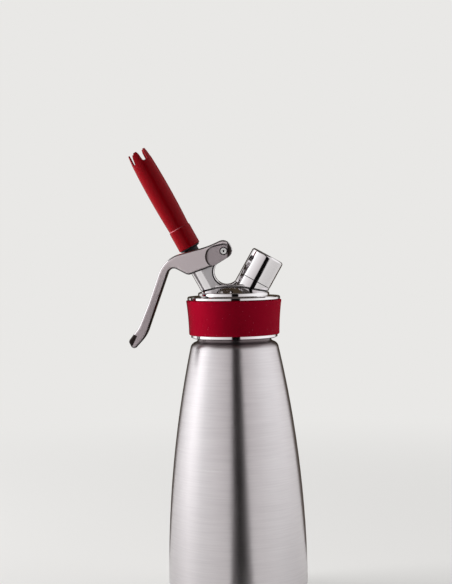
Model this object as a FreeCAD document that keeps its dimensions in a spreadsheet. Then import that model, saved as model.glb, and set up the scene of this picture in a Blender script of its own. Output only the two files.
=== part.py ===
import FreeCAD, Part
import Sketcher
import math
import os

# Whipped cream dispenser, 1 litre, millimetres. The origin is the centre of the bottle's foot and +Z
# is up. The nozzle and its valve lean over the lever, towards -X, and the gas inlet leans to +X.
# Two slanted frames start on the head's flange: in the valve frame and in the gas frame a height
# is counted along that axis from the plane of the flange's top face.

SIZES = {
    # bottle, drawn from thin stainless steel
    "belly_radius": 50.8,
    "flank_radius": 800.0,
    "base_corner": 12.0,
    "base_recess_radius": 30.0,
    "base_recess_depth": 1.6,
    "bottle_wall": 1.2,
    "shoulder_height": 185.5,
    "shoulder_rounding": 5.0,
    "neck_radius": 27.0,
    "neck_fillet": 2.0,
    "neck_height": 26.5,
    "thread_clearance": 0.06,
    # head: flange, skirt and dome
    "flange_rise": 8.0,
    "flange_radius": 34.1,
    "flange_thickness": 2.8,
    "flange_bevel": 0.7,
    "skirt_radius": 30.6,
    "skirt_ring_radius": 31.7,
    "skirt_ring_height": 2.5,
    "skirt_gap": 4.0,
    "skirt_foot_bevel": 1.4,
    "gasket_thickness": 1.6,
    "gasket_bore": 22.5,
    "gasket_ledge": 0.5,
    "head_roof": 4.6,
    "dome_radius": 26.2,
    "dome_edge": 2.6,
    "dome_rounding": 1.3,
    "dome_flare": 0.8,
    "dome_sphere": 66.0,
    # silicone grip band
    "band_top_radius": 35.0,
    "band_foot_radius": 33.2,
    "band_flare_radius": 200.0,
    "band_edge": 0.9,
    # saddle that joins the valve post and the gas boss, with a shadow line between it and the dome;
    # it rises so far over the dome's crown
    "saddle_rise": 0.8769,
    "saddle_post_end": 14.9,
    "saddle_boss_end": 12.9,
    "saddle_inset": 0.3,
    "saddle_edge": 1.5,
    "shadow_line": 0.45,
    "shadow_depth": 0.6,
    # valve frame
    "valve_foot": 12.05,
    "valve_tilt": 28.3,
    "post_radius": 8.5,
    "post_height": 27.0,
    "post_edge": 0.6,
    "notch_side": 15.0,
    "notch_height": 12.4,
    "notch_radius": 9.1,
    "notch_bevel": 0.9,
    "lug_overlap": 2.0,
    "guide_radius": 7.6,
    "guide_foot": -14.0,
    # gas frame
    "gas_foot": 9.2,
    "gas_tilt": 29.7,
    "boss_radius": 12.5,
    "boss_height": 12.8,
    "cap_seam": 0.25,
    "cap_relief": 0.35,
    "cap_height": 33.85,
    "cap_rounding": 1.8,
    "cap_wall": 2.2,
    "cap_upper_wall": 4.0,
    "cap_roof": 2.4,
    "vent_radius": 0.9,
    "vent_height": 27.3,
    # lever pivot
    "pivot_reach": 20.3,
    "pivot_height": 26.8,
    "lug_eye_radius": 4.9,
    "pin_radius": 1.9,
    "pin_head_radius": 2.6,
    "pin_head_thickness": 0.9,
    "pin_head_sink": 0.55,
    "pin_dimple_radius": 1.0,
    "pin_dimple_depth": 0.7,
    "counterbore_rim": 0.45,
    "running_clearance": 0.05,
    "seat_clearance": 0.02,
    # lever, its corners counted from the pivot in the valve frame
    "lever_width": 22.1,
    "fork_gap": 17.7,
    "fork_depth": 30.9,
    "web_thickness": 2.2,
    "lever_end": 6.6,
    "lever_end_top": 7.5,
    "lever_end_low": 5.4,
    "lever_end_radius": 6.1,
    "back_dip": 9.0,
    "back_dip_height": 8.7,
    "back_dip_radius": 60.0,
    "bend_reach": 40.6,
    "bend_height": 16.7,
    "bend_radius": 23.0,
    "bend_inner_back": 1.5,
    "bend_thickness": 7.3,
    "bend_inner_radius": 4.4,
    "arm_run": 25.4,
    "arm_fall": 23.0,
    "arm_radius": 110.0,
    "flick_run": 15.0,
    "flick_fall": 12.1,
    "flick_radius": 24.0,
    "tip_run": 11.8,
    "tip_fall": 5.2,
    "tip_thickness": 7.8,
    "tip_radius": 2.6,
    "palm_back": 1.5,
    "palm_thickness": 8.5,
    "palm_radius": 25.0,
    "lobe_reach": 31.0,
    "lobe_drop": 2.9,
    "lobe_radius": 5.0,
    "heel_reach": 10.5,
    "heel_drop": 6.1,
    "heel_radius": 30.0,
    "arm_width": 15.0,
    "arm_bow_overrun": 9.3,
    "lever_fillet": 1.9,
    "recess_radius": 7.3,
    "recess_reach": 6.3,
    "recess_drop": 1.1,
    "recess_end_radius": 4.4,
    "recess_depth": 0.8,
    "recess_slope": 1.2,
    "nose_radius": 1.3,
    "nose_height": 35.7,
    "stem_slot_width": 11.8,
    "stem_slot_out": 7.6,
    "stem_slot_in": 8.0,
    # valve and spring
    "stem_radius": 4.0,
    "stem_bore": 2.3,
    "stem_thread_radius": 3.2,
    "stem_top": 44.0,
    "stem_foot": -19.0,
    "valve_disc_radius": 6.4,
    "valve_disc_top": -15.6,
    "valve_seal_radius": 6.8,
    "chamber_radius": 5.3,
    "chamber_top": -8.0,
    "port_radius": 1.2,
    "port_height": -11.3,
    "bush_radius": 5.5,
    "bush_top": 6.0,
    "throat_radius": 4.6,
    "spring_seat": 18.5,
    "spring_pocket_radius": 6.4,
    "spring_radius": 5.25,
    "spring_wire": 0.9,
    "spring_turns": 5.0,
    "collar_foot": 32.3,
    "collar_thickness": 2.0,
    "collar_radius": 7.4,
    "collar_hub": 1.5,
    "stem_ring_height": -3.5,
    "stem_ring_spacing": 6.0,
    "bush_ring_height": -1.0,
    "ring_wire": 0.9,
    # adapter and nozzle
    "adapter_neck_radius": 5.2,
    "adapter_flange_radius": 7.4,
    "adapter_flange_foot": 40.5,
    "nozzle_foot": 41.25,
    "spigot_radius": 5.5,
    "spigot_top": 52.0,
    "spigot_ring_height": 48.5,
    "nozzle_collar_radius": 8.25,
    "nozzle_collar_length": 16.0,
    "nozzle_step": 0.5,
    "nozzle_bulge_radius": 560.0,
    "nozzle_wall": 1.5,
    "nozzle_root_radius": 7.9,
    "nozzle_tip_radius": 7.0,
    "nozzle_length": 80.0,
    "prong_length": 8.1,
    "prong_wall": 1.1,
    "prong_count": 5,
    "prong_tip": 0.9,
    "slot_foot": 2.1,
    "slot_radius": 1.2,
    "slot_mouth": 2.4,
    "slot_turn": 26.0,
    "socket_clearance": 0.08,
    # gas inlet
    "insert_radius": 6.6,
    "insert_foot": 2.2,
    "inlet_spigot_radius": 9.9,
    "inlet_spigot_top": 24.5,
    "charger_bore": 4.9,
    "charger_seat": 13.0,
    "charger_seal_thickness": 1.6,
    "charger_seal_bore": 1.9,
    "needle_radius": 1.3,
    "needle_bore": 0.5,
    "needle_top": 18.6,
    "needle_point": 2.4,
    "needle_foot": 9.6,
    "gas_port_radius": 0.9,
    "check_seat": 8.6,
    "check_chamber_radius": 4.4,
    "check_disc_thickness": 1.2,
    "check_play": 0.1,
    "retainer_foot": 2.6,
    "retainer_bore": 1.6,
    "inlet_ring_height": 10.6,
    "gas_bore_radius": 2.4,
}


class Size:
    """A number that keeps the spreadsheet formula it comes from."""

    def __init__(self, number, formula=None):
        self.number = float(number)
        self.formula = formula or repr(float(number))

    def _join(self, sign, other, number):
        return Size(number, f"({self.formula} {sign} {other.formula})")

    def __add__(self, other):
        other = as_size(other)
        return self._join("+", other, self.number + other.number)

    def __sub__(self, other):
        other = as_size(other)
        return self._join("-", other, self.number - other.number)

    def __mul__(self, other):
        other = as_size(other)
        return self._join("*", other, self.number * other.number)

    def __truediv__(self, other):
        other = as_size(other)
        return self._join("/", other, self.number / other.number)

    def __radd__(self, other):
        return as_size(other) + self

    def __rsub__(self, other):
        return as_size(other) - self

    def __rmul__(self, other):
        return as_size(other) * self

    def __neg__(self):
        return Size(-self.number, f"(-{self.formula})")


def as_size(value):
    return value if isinstance(value, Size) else Size(value)


def cosine(angle):
    return Size(math.cos(math.radians(angle.number)), f"cos({angle.formula} * 1 deg)")


def sine(angle):
    return Size(math.sin(math.radians(angle.number)), f"sin({angle.formula} * 1 deg)")


def root(square):
    return Size(math.sqrt(square.number), f"sqrt({square.formula})")


class Sizes:
    """The spreadsheet of driving dimensions, read as sizes.belly_radius and so on."""

    def __init__(self, document, table):
        sheet = document.addObject("Spreadsheet::Sheet", "Sizes")
        for row, (alias, number) in enumerate(table.items(), start=1):
            sheet.set(f"A{row}", alias)
            sheet.set(f"B{row}", str(number))
            sheet.setAlias(f"B{row}", alias)
            setattr(self, alias, Size(number, f"Sizes.{alias}"))


doc = FreeCAD.newDocument("dispenser")
sizes = Sizes(doc, SIZES)
sizes.lip_height = sizes.shoulder_height + sizes.neck_height
sizes.flange_top = sizes.lip_height + sizes.flange_rise
sizes.flange_foot = sizes.flange_top - sizes.flange_thickness
sizes.head_ceiling = sizes.flange_top - sizes.head_roof
sizes.skirt_foot = sizes.shoulder_height + sizes.skirt_gap
sizes.skirt_ring_top = sizes.skirt_foot + sizes.skirt_ring_height
doc.recompute()
parts = []


# ---------------------------------------------------------------- sketches and bodies


def bind(thing, name, size):
    """Sets a property and ties it to its formula."""
    size = as_size(size)
    setattr(thing, name, size.number)
    thing.setExpression(name, size.formula)


def corner(across, up, rounding=None, arc=None):
    """A corner of an outline. rounding fillets it. arc is the signed radius of the edge that leads
    to it: positive when that edge turns left, negative when it turns right."""
    return {
        "at": (as_size(across), as_size(up)),
        "rounding": None if rounding is None else as_size(rounding),
        "arc": None if arc is None else as_size(arc),
    }


def arc_between(start, end, radius):
    """The minor arc from start to end, and its ends' places on the arc."""
    half = (end - start) * 0.5
    left = FreeCAD.Vector(-half.y, half.x, 0).normalize()
    side = 1.0 if radius > 0 else -1.0
    centre = start + half + left * side * math.sqrt(radius**2 - half.Length**2)
    circle = Part.Circle(centre, FreeCAD.Vector(0, 0, 1), abs(radius))
    first, last = (start, end) if radius > 0 else (end, start)
    arc = Part.ArcOfCircle(circle, circle.parameter(first), circle.parameter(last))
    return (arc, 1, 2) if radius > 0 else (arc, 2, 1)


def draw_outline(sketch, corners):
    """Draws a closed outline and ties every corner, rounding and arc to the spreadsheet."""
    places = [FreeCAD.Vector(c["at"][0].number, c["at"][1].number, 0) for c in corners]
    count = len(corners)
    pieces = []
    for i in range(count):
        after = (i + 1) % count
        arrive, leave = places[i], places[i]
        if corners[i]["rounding"]:
            before = (places[i - 1] - places[i]).normalize()
            onward = (places[after] - places[i]).normalize()
            half_angle = before.getAngle(onward) / 2
            radius = corners[i]["rounding"].number
            length = radius / math.tan(half_angle)
            arrive, leave = places[i] + before * length, places[i] + onward * length
            turn = before.cross(onward).z
            arc, first, last = arc_between(arrive, leave, radius if turn < 0 else -radius)
            pieces.append({"shape": arc, "ends": (first, last), "corner": i, "radius": radius})
        corners[i]["arrive"], corners[i]["leave"] = arrive, leave
        pieces.append({"edge": i})
    for piece in pieces:
        if "edge" not in piece:
            continue
        start = corners[piece["edge"]]["leave"]
        target = corners[(piece["edge"] + 1) % count]
        if target["arc"]:
            arc, first, last = arc_between(start, target["arrive"], target["arc"].number)
            piece.update(shape=arc, ends=(first, last))
        else:
            piece.update(shape=Part.LineSegment(start, target["arrive"]), ends=(1, 2))
    for piece in pieces:
        piece["id"] = sketch.addGeometry(piece["shape"], False)

    def hold(kind, *place, size):
        index = sketch.addConstraint(Sketcher.Constraint(kind, *place, size.number))
        if abs(size.number) > 1e-9:
            sketch.setExpression(f"Constraints[{index}]", size.formula)

    for before, piece in zip(pieces[-1:] + pieces[:-1], pieces):
        join = (before["id"], before["ends"][1], piece["id"], piece["ends"][0])
        smooth = "corner" in before or "corner" in piece
        sketch.addConstraint(Sketcher.Constraint("Tangent" if smooth else "Coincident", *join))
        if "corner" in piece:
            spot = corners[piece["corner"]]
            hold("Radius", piece["id"], size=spot["rounding"])
            point = sketch.addGeometry(Part.Point(places[piece["corner"]]), True)
            onward = pieces[(pieces.index(piece) + 1) % len(pieces)]
            for line in (before["id"], onward["id"]):
                sketch.addConstraint(Sketcher.Constraint("PointOnObject", point, 1, line))
            hold("DistanceX", point, 1, size=spot["at"][0])
            hold("DistanceY", point, 1, size=spot["at"][1])
            continue
        spot = corners[piece["edge"]]
        if not spot["rounding"]:
            hold("DistanceX", piece["id"], piece["ends"][0], size=spot["at"][0])
            hold("DistanceY", piece["id"], piece["ends"][0], size=spot["at"][1])
        target = corners[(piece["edge"] + 1) % count]
        if target["arc"]:
            radius = target["arc"]
            hold("Radius", piece["id"], size=radius if radius.number > 0 else -radius)


def new_body(name):
    body = doc.addObject("PartDesign::Body", name)
    body.Label = name
    return body


def new_sketch(body, plane, name, *outlines, shift=0.0):
    """A sketch with any number of closed outlines, on one of the body's origin planes or shifted
    from it along the plane's normal."""
    sketch = body.newObject("Sketcher::SketchObject", name)
    for feature in body.Origin.OriginFeatures:
        if feature.Role == plane:
            sketch.AttachmentSupport = (feature, [""])
    sketch.MapMode = "FlatFace"
    shift = as_size(shift)
    sketch.AttachmentOffset.Base.z = shift.number
    sketch.setExpression("AttachmentOffset.Base.z", shift.formula)
    for corners in outlines:
        draw_outline(sketch, corners)
    return sketch


def circle_outline(across, up, radius):
    """A circle as four quarter arcs, so that it is drawn like every other outline."""
    across, up, radius = as_size(across), as_size(up), as_size(radius)
    return [
        corner(across + radius, up, arc=radius),
        corner(across, up + radius, arc=radius),
        corner(across - radius, up, arc=radius),
        corner(across, up - radius, arc=radius),
    ]


def revolve(body, name, *outlines):
    sketch = new_sketch(body, "XZ_Plane", name + "_profile", *outlines)
    turned = body.newObject("PartDesign::Revolution", name)
    turned.Profile = sketch
    turned.ReferenceAxis = (sketch, ["V_Axis"])
    turned.Angle = 360.0
    doc.recompute()
    return turned


def pad(body, name, plane, length, *outlines, shift=0.0):
    """A slab as thick as length, half of it on each side of its sketch."""
    sketch = new_sketch(body, plane, name + "_profile", *outlines, shift=shift)
    slab = body.newObject("PartDesign::Pad", name)
    slab.Profile = sketch
    slab.Midplane = True
    bind(slab, "Length", length)
    doc.recompute()
    return slab


def pocket(body, name, plane, length, *outlines, shift=0.0):
    """A cut as deep as length, half of it on each side of its sketch."""
    sketch = new_sketch(body, plane, name + "_profile", *outlines, shift=shift)
    cut = body.newObject("PartDesign::Pocket", name)
    cut.Profile = sketch
    cut.Midplane = True
    bind(cut, "Length", length)
    doc.recompute()
    return cut


def edges_where(shape, wanted):
    return [f"Edge{i}" for i, edge in enumerate(shape.Edges, start=1) if wanted(edge)]


def has_radius(edge, radius):
    """Whether an edge is an arc or a circle of that radius."""
    if edge.Degenerated or edge.Curve.TypeId != "Part::GeomCircle":
        return False
    return abs(edge.Curve.Radius - radius.number) < 0.01


def is_circle(edge, radius, height):
    """Whether an edge is a circle of that radius about Z at that height."""
    return has_radius(edge, radius) and abs(edge.Curve.Center.z - height.number) < 0.01


def dress(body, kind, name, size, wanted):
    """Fillets or chamfers the edges of the body's last feature that wanted picks."""
    base = body.Tip
    feature = body.newObject("PartDesign::" + kind, name)
    feature.Base = (base, edges_where(base.Shape, wanted))
    bind(feature, "Radius" if kind == "Fillet" else "Size", size)
    doc.recompute()
    return feature


# ---------------------------------------------------------------- slanted frames


def in_valve_frame(thing, along=0.0, aside=0.0):
    """Stands a thing on the valve axis. It leans towards -X."""
    slant(thing, -sizes.valve_foot, -sizes.valve_tilt, as_size(along), as_size(aside))


def in_gas_frame(thing, along=0.0, aside=0.0):
    """Stands a thing on the gas inlet's axis. It leans towards +X."""
    slant(thing, sizes.gas_foot, sizes.gas_tilt, as_size(along), as_size(aside))


def slant(thing, foot, tilt, along, aside):
    across = foot + along * sine(tilt) + aside * cosine(tilt)
    up = sizes.flange_top + along * cosine(tilt) - aside * sine(tilt)
    turn = FreeCAD.Rotation(FreeCAD.Vector(0, 1, 0), tilt.number)
    thing.Placement = FreeCAD.Placement(FreeCAD.Vector(across.number, 0, up.number), turn)
    angle = tilt if turn.Axis.y > 0 else -tilt
    thing.setExpression("Placement.Base.x", across.formula)
    thing.setExpression("Placement.Base.z", up.formula)
    thing.setExpression("Placement.Rotation.Angle", f"{angle.formula} * 1 deg")


def rod(name, frame, foot, top, radius):
    """A plain cylinder along the axis of a slanted frame, from foot to top."""
    foot, top = as_size(foot), as_size(top)
    cylinder = doc.addObject("Part::Cylinder", name)
    bind(cylinder, "Radius", radius)
    bind(cylinder, "Height", top - foot)
    frame(cylinder, foot)
    return cylinder


def ring(name, frame, height, bore):
    """An O-ring that seals against a bore."""
    torus = doc.addObject("Part::Torus", name)
    torus.Label = name
    bind(torus, "Radius1", bore - sizes.seat_clearance - sizes.ring_wire / 2)
    bind(torus, "Radius2", sizes.ring_wire / 2)
    frame(torus, height)
    return torus


def ring_groove(outside, bore, height):
    """The corners of a turned groove that holds such an O-ring, from below to above."""
    floor = bore - sizes.ring_wire - sizes.seat_clearance * 2
    half = sizes.ring_wire / 2 + sizes.seat_clearance
    return [
        corner(outside, height - half),
        corner(floor, height - half),
        corner(floor, height + half),
        corner(outside, height + half),
    ]


def turned_part(name, frame, corners):
    """A lathe-turned piece on the axis of a slanted frame."""
    body = new_body(name)
    revolve(body, name + "_turned", corners)
    frame(body)
    return body


def keep(thing):
    parts.append(thing)
    return thing


# ---------------------------------------------------------------- bottle


def make_bottle():
    """The bottle: one drawn shell with a domed foot, long convex flanks and a straight neck."""
    flank_centre = sizes.belly_radius - sizes.flank_radius
    rise = sizes.shoulder_height - sizes.base_corner
    shoulder_radius = flank_centre + root(sizes.flank_radius * sizes.flank_radius - rise * rise)
    foot_radius = sizes.belly_radius - sizes.base_corner
    body = new_body("bottle")
    revolve(
        body,
        "bottle_form",
        [
            corner(0, sizes.base_recess_depth),
            corner(sizes.base_recess_radius, sizes.base_recess_depth),
            corner(sizes.base_recess_radius + sizes.base_recess_depth, 0),
            corner(foot_radius, 0),
            corner(sizes.belly_radius, sizes.base_corner, arc=sizes.base_corner),
            corner(shoulder_radius, sizes.shoulder_height, arc=sizes.flank_radius),
            corner(sizes.neck_radius, sizes.shoulder_height + sizes.neck_fillet),
            corner(sizes.neck_radius, sizes.lip_height),
            corner(0, sizes.lip_height),
        ],
    )
    dress(
        body,
        "Fillet",
        "shoulder_round",
        sizes.shoulder_rounding,
        lambda edge: is_circle(edge, shoulder_radius, sizes.shoulder_height),
    )
    dress(
        body,
        "Fillet",
        "neck_round",
        sizes.neck_fillet,
        lambda edge: is_circle(edge, sizes.neck_radius, sizes.shoulder_height + sizes.neck_fillet),
    )
    shell = body.newObject("PartDesign::Thickness", "bottle_shell")
    solid = shell.getPropertyByName("BaseFeature") or body.Tip
    lip = [
        f"Face{i}"
        for i, face in enumerate(solid.Shape.Faces, start=1)
        if abs(face.CenterOfMass.z - sizes.lip_height.number) < 0.01
    ]
    shell.Base = (solid, lip)
    bind(shell, "Value", sizes.bottle_wall)
    shell.Reversed = True
    doc.recompute()
    return keep(body)


# ---------------------------------------------------------------- head


def two_circle_outline(near, near_radius, far, far_radius):
    """Two circles and their common tangents, counted along the line from near to far."""
    across, up = far[0] - near[0], far[1] - near[1]
    length = root(across * across + up * up)
    lean = (far_radius - near_radius) / length
    square = root(1 - lean * lean)

    def spot(centre, radius, along, aside, arc=None):
        x = centre[0] + radius * (along * across - aside * up) / length
        y = centre[1] + radius * (along * up + aside * across) / length
        return corner(x, y, arc=arc)

    return [
        spot(far, far_radius, Size(1), Size(0), far_radius),
        spot(far, far_radius, -lean, square, far_radius),
        spot(near, near_radius, -lean, square),
        spot(near, near_radius, Size(-1), Size(0), near_radius),
        spot(near, near_radius, -lean, -square, near_radius),
        spot(far, far_radius, -lean, -square),
    ]


def saddle_outline(inset):
    """The saddle's plan: a circle in the post, one in the gas boss, and their tangents."""
    post = (-sizes.saddle_post_end, Size(0))
    boss = (sizes.saddle_boss_end, Size(0))
    return two_circle_outline(post, sizes.post_radius - inset, boss, sizes.boss_radius - inset)


def dome_height(radius):
    """The height of the dome's top face at a distance from the head's axis."""
    sphere = sizes.dome_sphere
    rim = root(sphere * sphere - sizes.dome_radius * sizes.dome_radius)
    return sizes.flange_top + sizes.dome_edge + root(sphere * sphere - radius * radius) - rim


def saddle_top():
    return dome_height(Size(0)) + sizes.saddle_rise


def make_head_shell():
    """Flange, skirt, lower ring and dome, turned about Z, with the gasket's seat inside."""
    bore = sizes.neck_radius + sizes.thread_clearance
    gasket_top = sizes.lip_height + sizes.gasket_thickness
    gasket_seat = sizes.gasket_bore - sizes.gasket_ledge
    dome_edge = sizes.flange_top + sizes.dome_edge
    body = new_body("head_shell")
    revolve(
        body,
        "head_shell_turned",
        [
            corner(0, dome_height(Size(0)), arc=sizes.dome_sphere),
            corner(0, sizes.head_ceiling),
            corner(gasket_seat, sizes.head_ceiling),
            corner(gasket_seat, gasket_top),
            corner(bore, gasket_top),
            corner(bore, sizes.skirt_foot),
            corner(sizes.skirt_ring_radius - sizes.skirt_foot_bevel, sizes.skirt_foot),
            corner(sizes.skirt_ring_radius, sizes.skirt_foot + sizes.skirt_foot_bevel / 2),
            corner(sizes.skirt_ring_radius, sizes.skirt_ring_top),
            corner(sizes.skirt_radius, sizes.skirt_ring_top),
            corner(sizes.skirt_radius, sizes.flange_foot),
            corner(sizes.flange_radius - sizes.flange_bevel, sizes.flange_foot),
            corner(sizes.flange_radius, sizes.flange_foot + sizes.flange_bevel),
            corner(sizes.flange_radius, sizes.flange_top - sizes.flange_bevel),
            corner(sizes.flange_radius - sizes.flange_bevel, sizes.flange_top),
            corner(sizes.dome_radius + sizes.dome_flare, sizes.flange_top),
            corner(sizes.dome_radius, sizes.flange_top + sizes.dome_flare, arc=-sizes.dome_flare),
            corner(sizes.dome_radius, dome_edge),
        ],
    )
    dress(
        body,
        "Fillet",
        "dome_round",
        sizes.dome_rounding,
        lambda edge: is_circle(edge, sizes.dome_radius, dome_edge),
    )
    return body


def lies_at(edge, height):
    return all(abs(edge.valueAt(t).z - height) < 0.01 for t in edge.ParameterRange)


def make_saddle():
    """The web between post and boss."""
    body = new_body("saddle")
    top = saddle_top()
    outline = saddle_outline(sizes.saddle_inset)
    centre = (top + sizes.flange_top) / 2
    pad(body, "saddle_slab", "XY_Plane", top - sizes.flange_top, outline, shift=centre)
    dress(
        body, "Fillet", "saddle_round", sizes.saddle_edge, lambda edge: lies_at(edge, top.number)
    )
    return body


def make_saddle_core():
    """The narrower foot of the saddle, in the shadow line over the dome."""
    body = new_body("saddle_core")
    depth = saddle_top() - sizes.saddle_edge - sizes.flange_top
    outline = saddle_outline(sizes.saddle_inset + sizes.shadow_depth)
    pad(body, "saddle_foot", "XY_Plane", depth, outline, shift=sizes.flange_top + depth / 2)
    return body


def make_shadow_cutter():
    """A ball that trims the saddle, post and boss just above the dome."""
    ball = doc.addObject("Part::Sphere", "shadow_cutter")
    bind(ball, "Radius", sizes.dome_sphere)
    centre = dome_height(Size(0)) + sizes.shadow_line - sizes.dome_sphere
    ball.Placement.Base.z = centre.number
    ball.setExpression("Placement.Base.z", centre.formula)
    return ball


def make_post():
    """The valve post: a half round with a flat-sided web that carries the eye for the lever's pin,
    and the round notch between post and gas boss."""
    eye = sizes.lug_eye_radius
    round_eye = eye - sizes.seat_clearance * 10
    width = sizes.post_radius * 2
    body = new_body("post")
    revolve(
        body,
        "post_turned",
        [
            corner(0, 0),
            corner(sizes.post_radius, 0),
            corner(sizes.post_radius, sizes.post_height - sizes.post_edge),
            corner(sizes.post_radius - sizes.post_edge, sizes.post_height),
            corner(0, sizes.post_height),
        ],
    )
    pad(
        body,
        "lug",
        "XZ_Plane",
        width,
        [
            corner(0, 0),
            corner(sizes.notch_side + sizes.lug_overlap, 0),
            corner(sizes.notch_side + sizes.lug_overlap, sizes.pivot_height - eye),
            corner(sizes.pivot_reach + eye, sizes.pivot_height - eye, round_eye),
            corner(sizes.pivot_reach + eye, sizes.pivot_height + eye, round_eye),
            corner(sizes.pivot_reach - eye, sizes.pivot_height + round_eye, eye / 2),
            corner(sizes.post_radius, sizes.post_height - sizes.post_edge),
            corner(0, sizes.post_height - sizes.post_edge),
        ],
    )
    notch = circle_outline(sizes.notch_side, sizes.notch_height, sizes.notch_radius)
    pocket(body, "notch", "XZ_Plane", width * 2, notch)
    dress(
        body,
        "Fillet",
        "notch_edge",
        sizes.notch_bevel,
        lambda edge: has_radius(edge, sizes.notch_radius),
    )
    in_valve_frame(body)
    return body


def fuse(name, shapes):
    whole = doc.addObject("Part::MultiFuse", name)
    whole.Shapes = shapes
    doc.recompute()
    return whole


def cut(name, base, tools):
    tool = tools[0] if len(tools) == 1 else fuse(name + "_tools", tools)
    left = doc.addObject("Part::Cut", name)
    left.Base = base
    left.Tool = tool
    doc.recompute()
    return left


def make_head():
    """The cast head: flange and skirt, dome, valve post with the lever's lug, and gas boss."""
    valve, gas = in_valve_frame, in_gas_frame
    guide = rod("guide", valve, sizes.guide_foot, 0, sizes.guide_radius)
    boss = rod("boss", gas, 0, sizes.boss_height, sizes.boss_radius)
    upper = fuse("upper_solid", [make_saddle(), make_post(), boss])
    trimmed = cut("upper_trimmed", upper, [make_shadow_cutter()])
    solid = fuse("head_solid", [make_head_shell(), trimmed, make_saddle_core(), guide])
    bores = [
        rod("chamber", valve, sizes.guide_foot - 1, sizes.chamber_top, sizes.chamber_radius),
        rod("bush_bore", valve, sizes.chamber_top - 1, sizes.bush_top, sizes.bush_radius),
        rod("throat", valve, sizes.bush_top - 1, sizes.spring_seat + 1, sizes.throat_radius),
        rod("pocket", valve, sizes.spring_seat, sizes.post_height + 1, sizes.spring_pocket_radius),
        rod("insert_bore", gas, sizes.insert_foot, sizes.boss_height + 1, sizes.insert_radius),
        rod("gas_bore", gas, sizes.guide_foot, sizes.insert_foot + 1, sizes.gas_bore_radius),
        rod("cap_seat", gas, sizes.boss_height, sizes.cap_height, sizes.boss_radius + sizes.cap_relief),
        pin_bore(),
    ]
    head = cut("head_casting", solid, bores)
    head.Label = "head_casting"
    return keep(head)


def pin_bore():
    """The bore through the lug for the lever's pin."""
    length = sizes.post_radius * 3
    cylinder = doc.addObject("Part::Cylinder", "pin_bore")
    bind(cylinder, "Radius", sizes.pin_radius + sizes.seat_clearance)
    bind(cylinder, "Height", length)
    across_pivot(cylinder, -length / 2)
    return cylinder


def across_pivot(thing, start=0.0):
    """Lays a thing that was made along Z on the lever's pivot, along +Y from start."""
    tilt, start = -sizes.valve_tilt, as_size(start)
    height, reach = sizes.pivot_height, sizes.pivot_reach
    across = -sizes.valve_foot + height * sine(tilt) + reach * cosine(tilt)
    up = sizes.flange_top + height * cosine(tilt) - reach * sine(tilt)
    place = FreeCAD.Vector(across.number, start.number, up.number)
    turn = FreeCAD.Rotation(FreeCAD.Vector(1, 0, 0), -90)
    thing.Placement = FreeCAD.Placement(place, turn)
    thing.setExpression("Placement.Base.x", across.formula)
    thing.setExpression("Placement.Base.y", start.formula)
    thing.setExpression("Placement.Base.z", up.formula)


def make_band():
    """The silicone band, held between the flange and the lower ring."""
    top = sizes.flange_foot
    foot = sizes.skirt_ring_top
    body = new_body("grip_band")
    revolve(
        body,
        "grip_band_moulded",
        [
            corner(sizes.skirt_radius, foot),
            corner(sizes.band_foot_radius - sizes.band_edge, foot),
            corner(sizes.band_foot_radius, foot + sizes.band_edge, arc=sizes.band_edge),
            corner(sizes.band_top_radius, top - sizes.band_edge / 3, arc=-sizes.band_flare_radius),
            corner(sizes.band_top_radius - sizes.band_edge / 3, top),
            corner(sizes.skirt_radius, top),
        ],
    )
    return keep(body)


def make_gasket():
    """The flat silicone ring that seals the head on the bottle's lip."""
    body = new_body("head_gasket")
    lip = sizes.lip_height
    outer = sizes.neck_radius - sizes.thread_clearance
    revolve(
        body,
        "head_gasket_moulded",
        [
            corner(sizes.gasket_bore, lip),
            corner(outer, lip),
            corner(outer, lip + sizes.gasket_thickness),
            corner(sizes.gasket_bore, lip + sizes.gasket_thickness),
        ],
    )
    return keep(body)


# ---------------------------------------------------------------- lever


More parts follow.
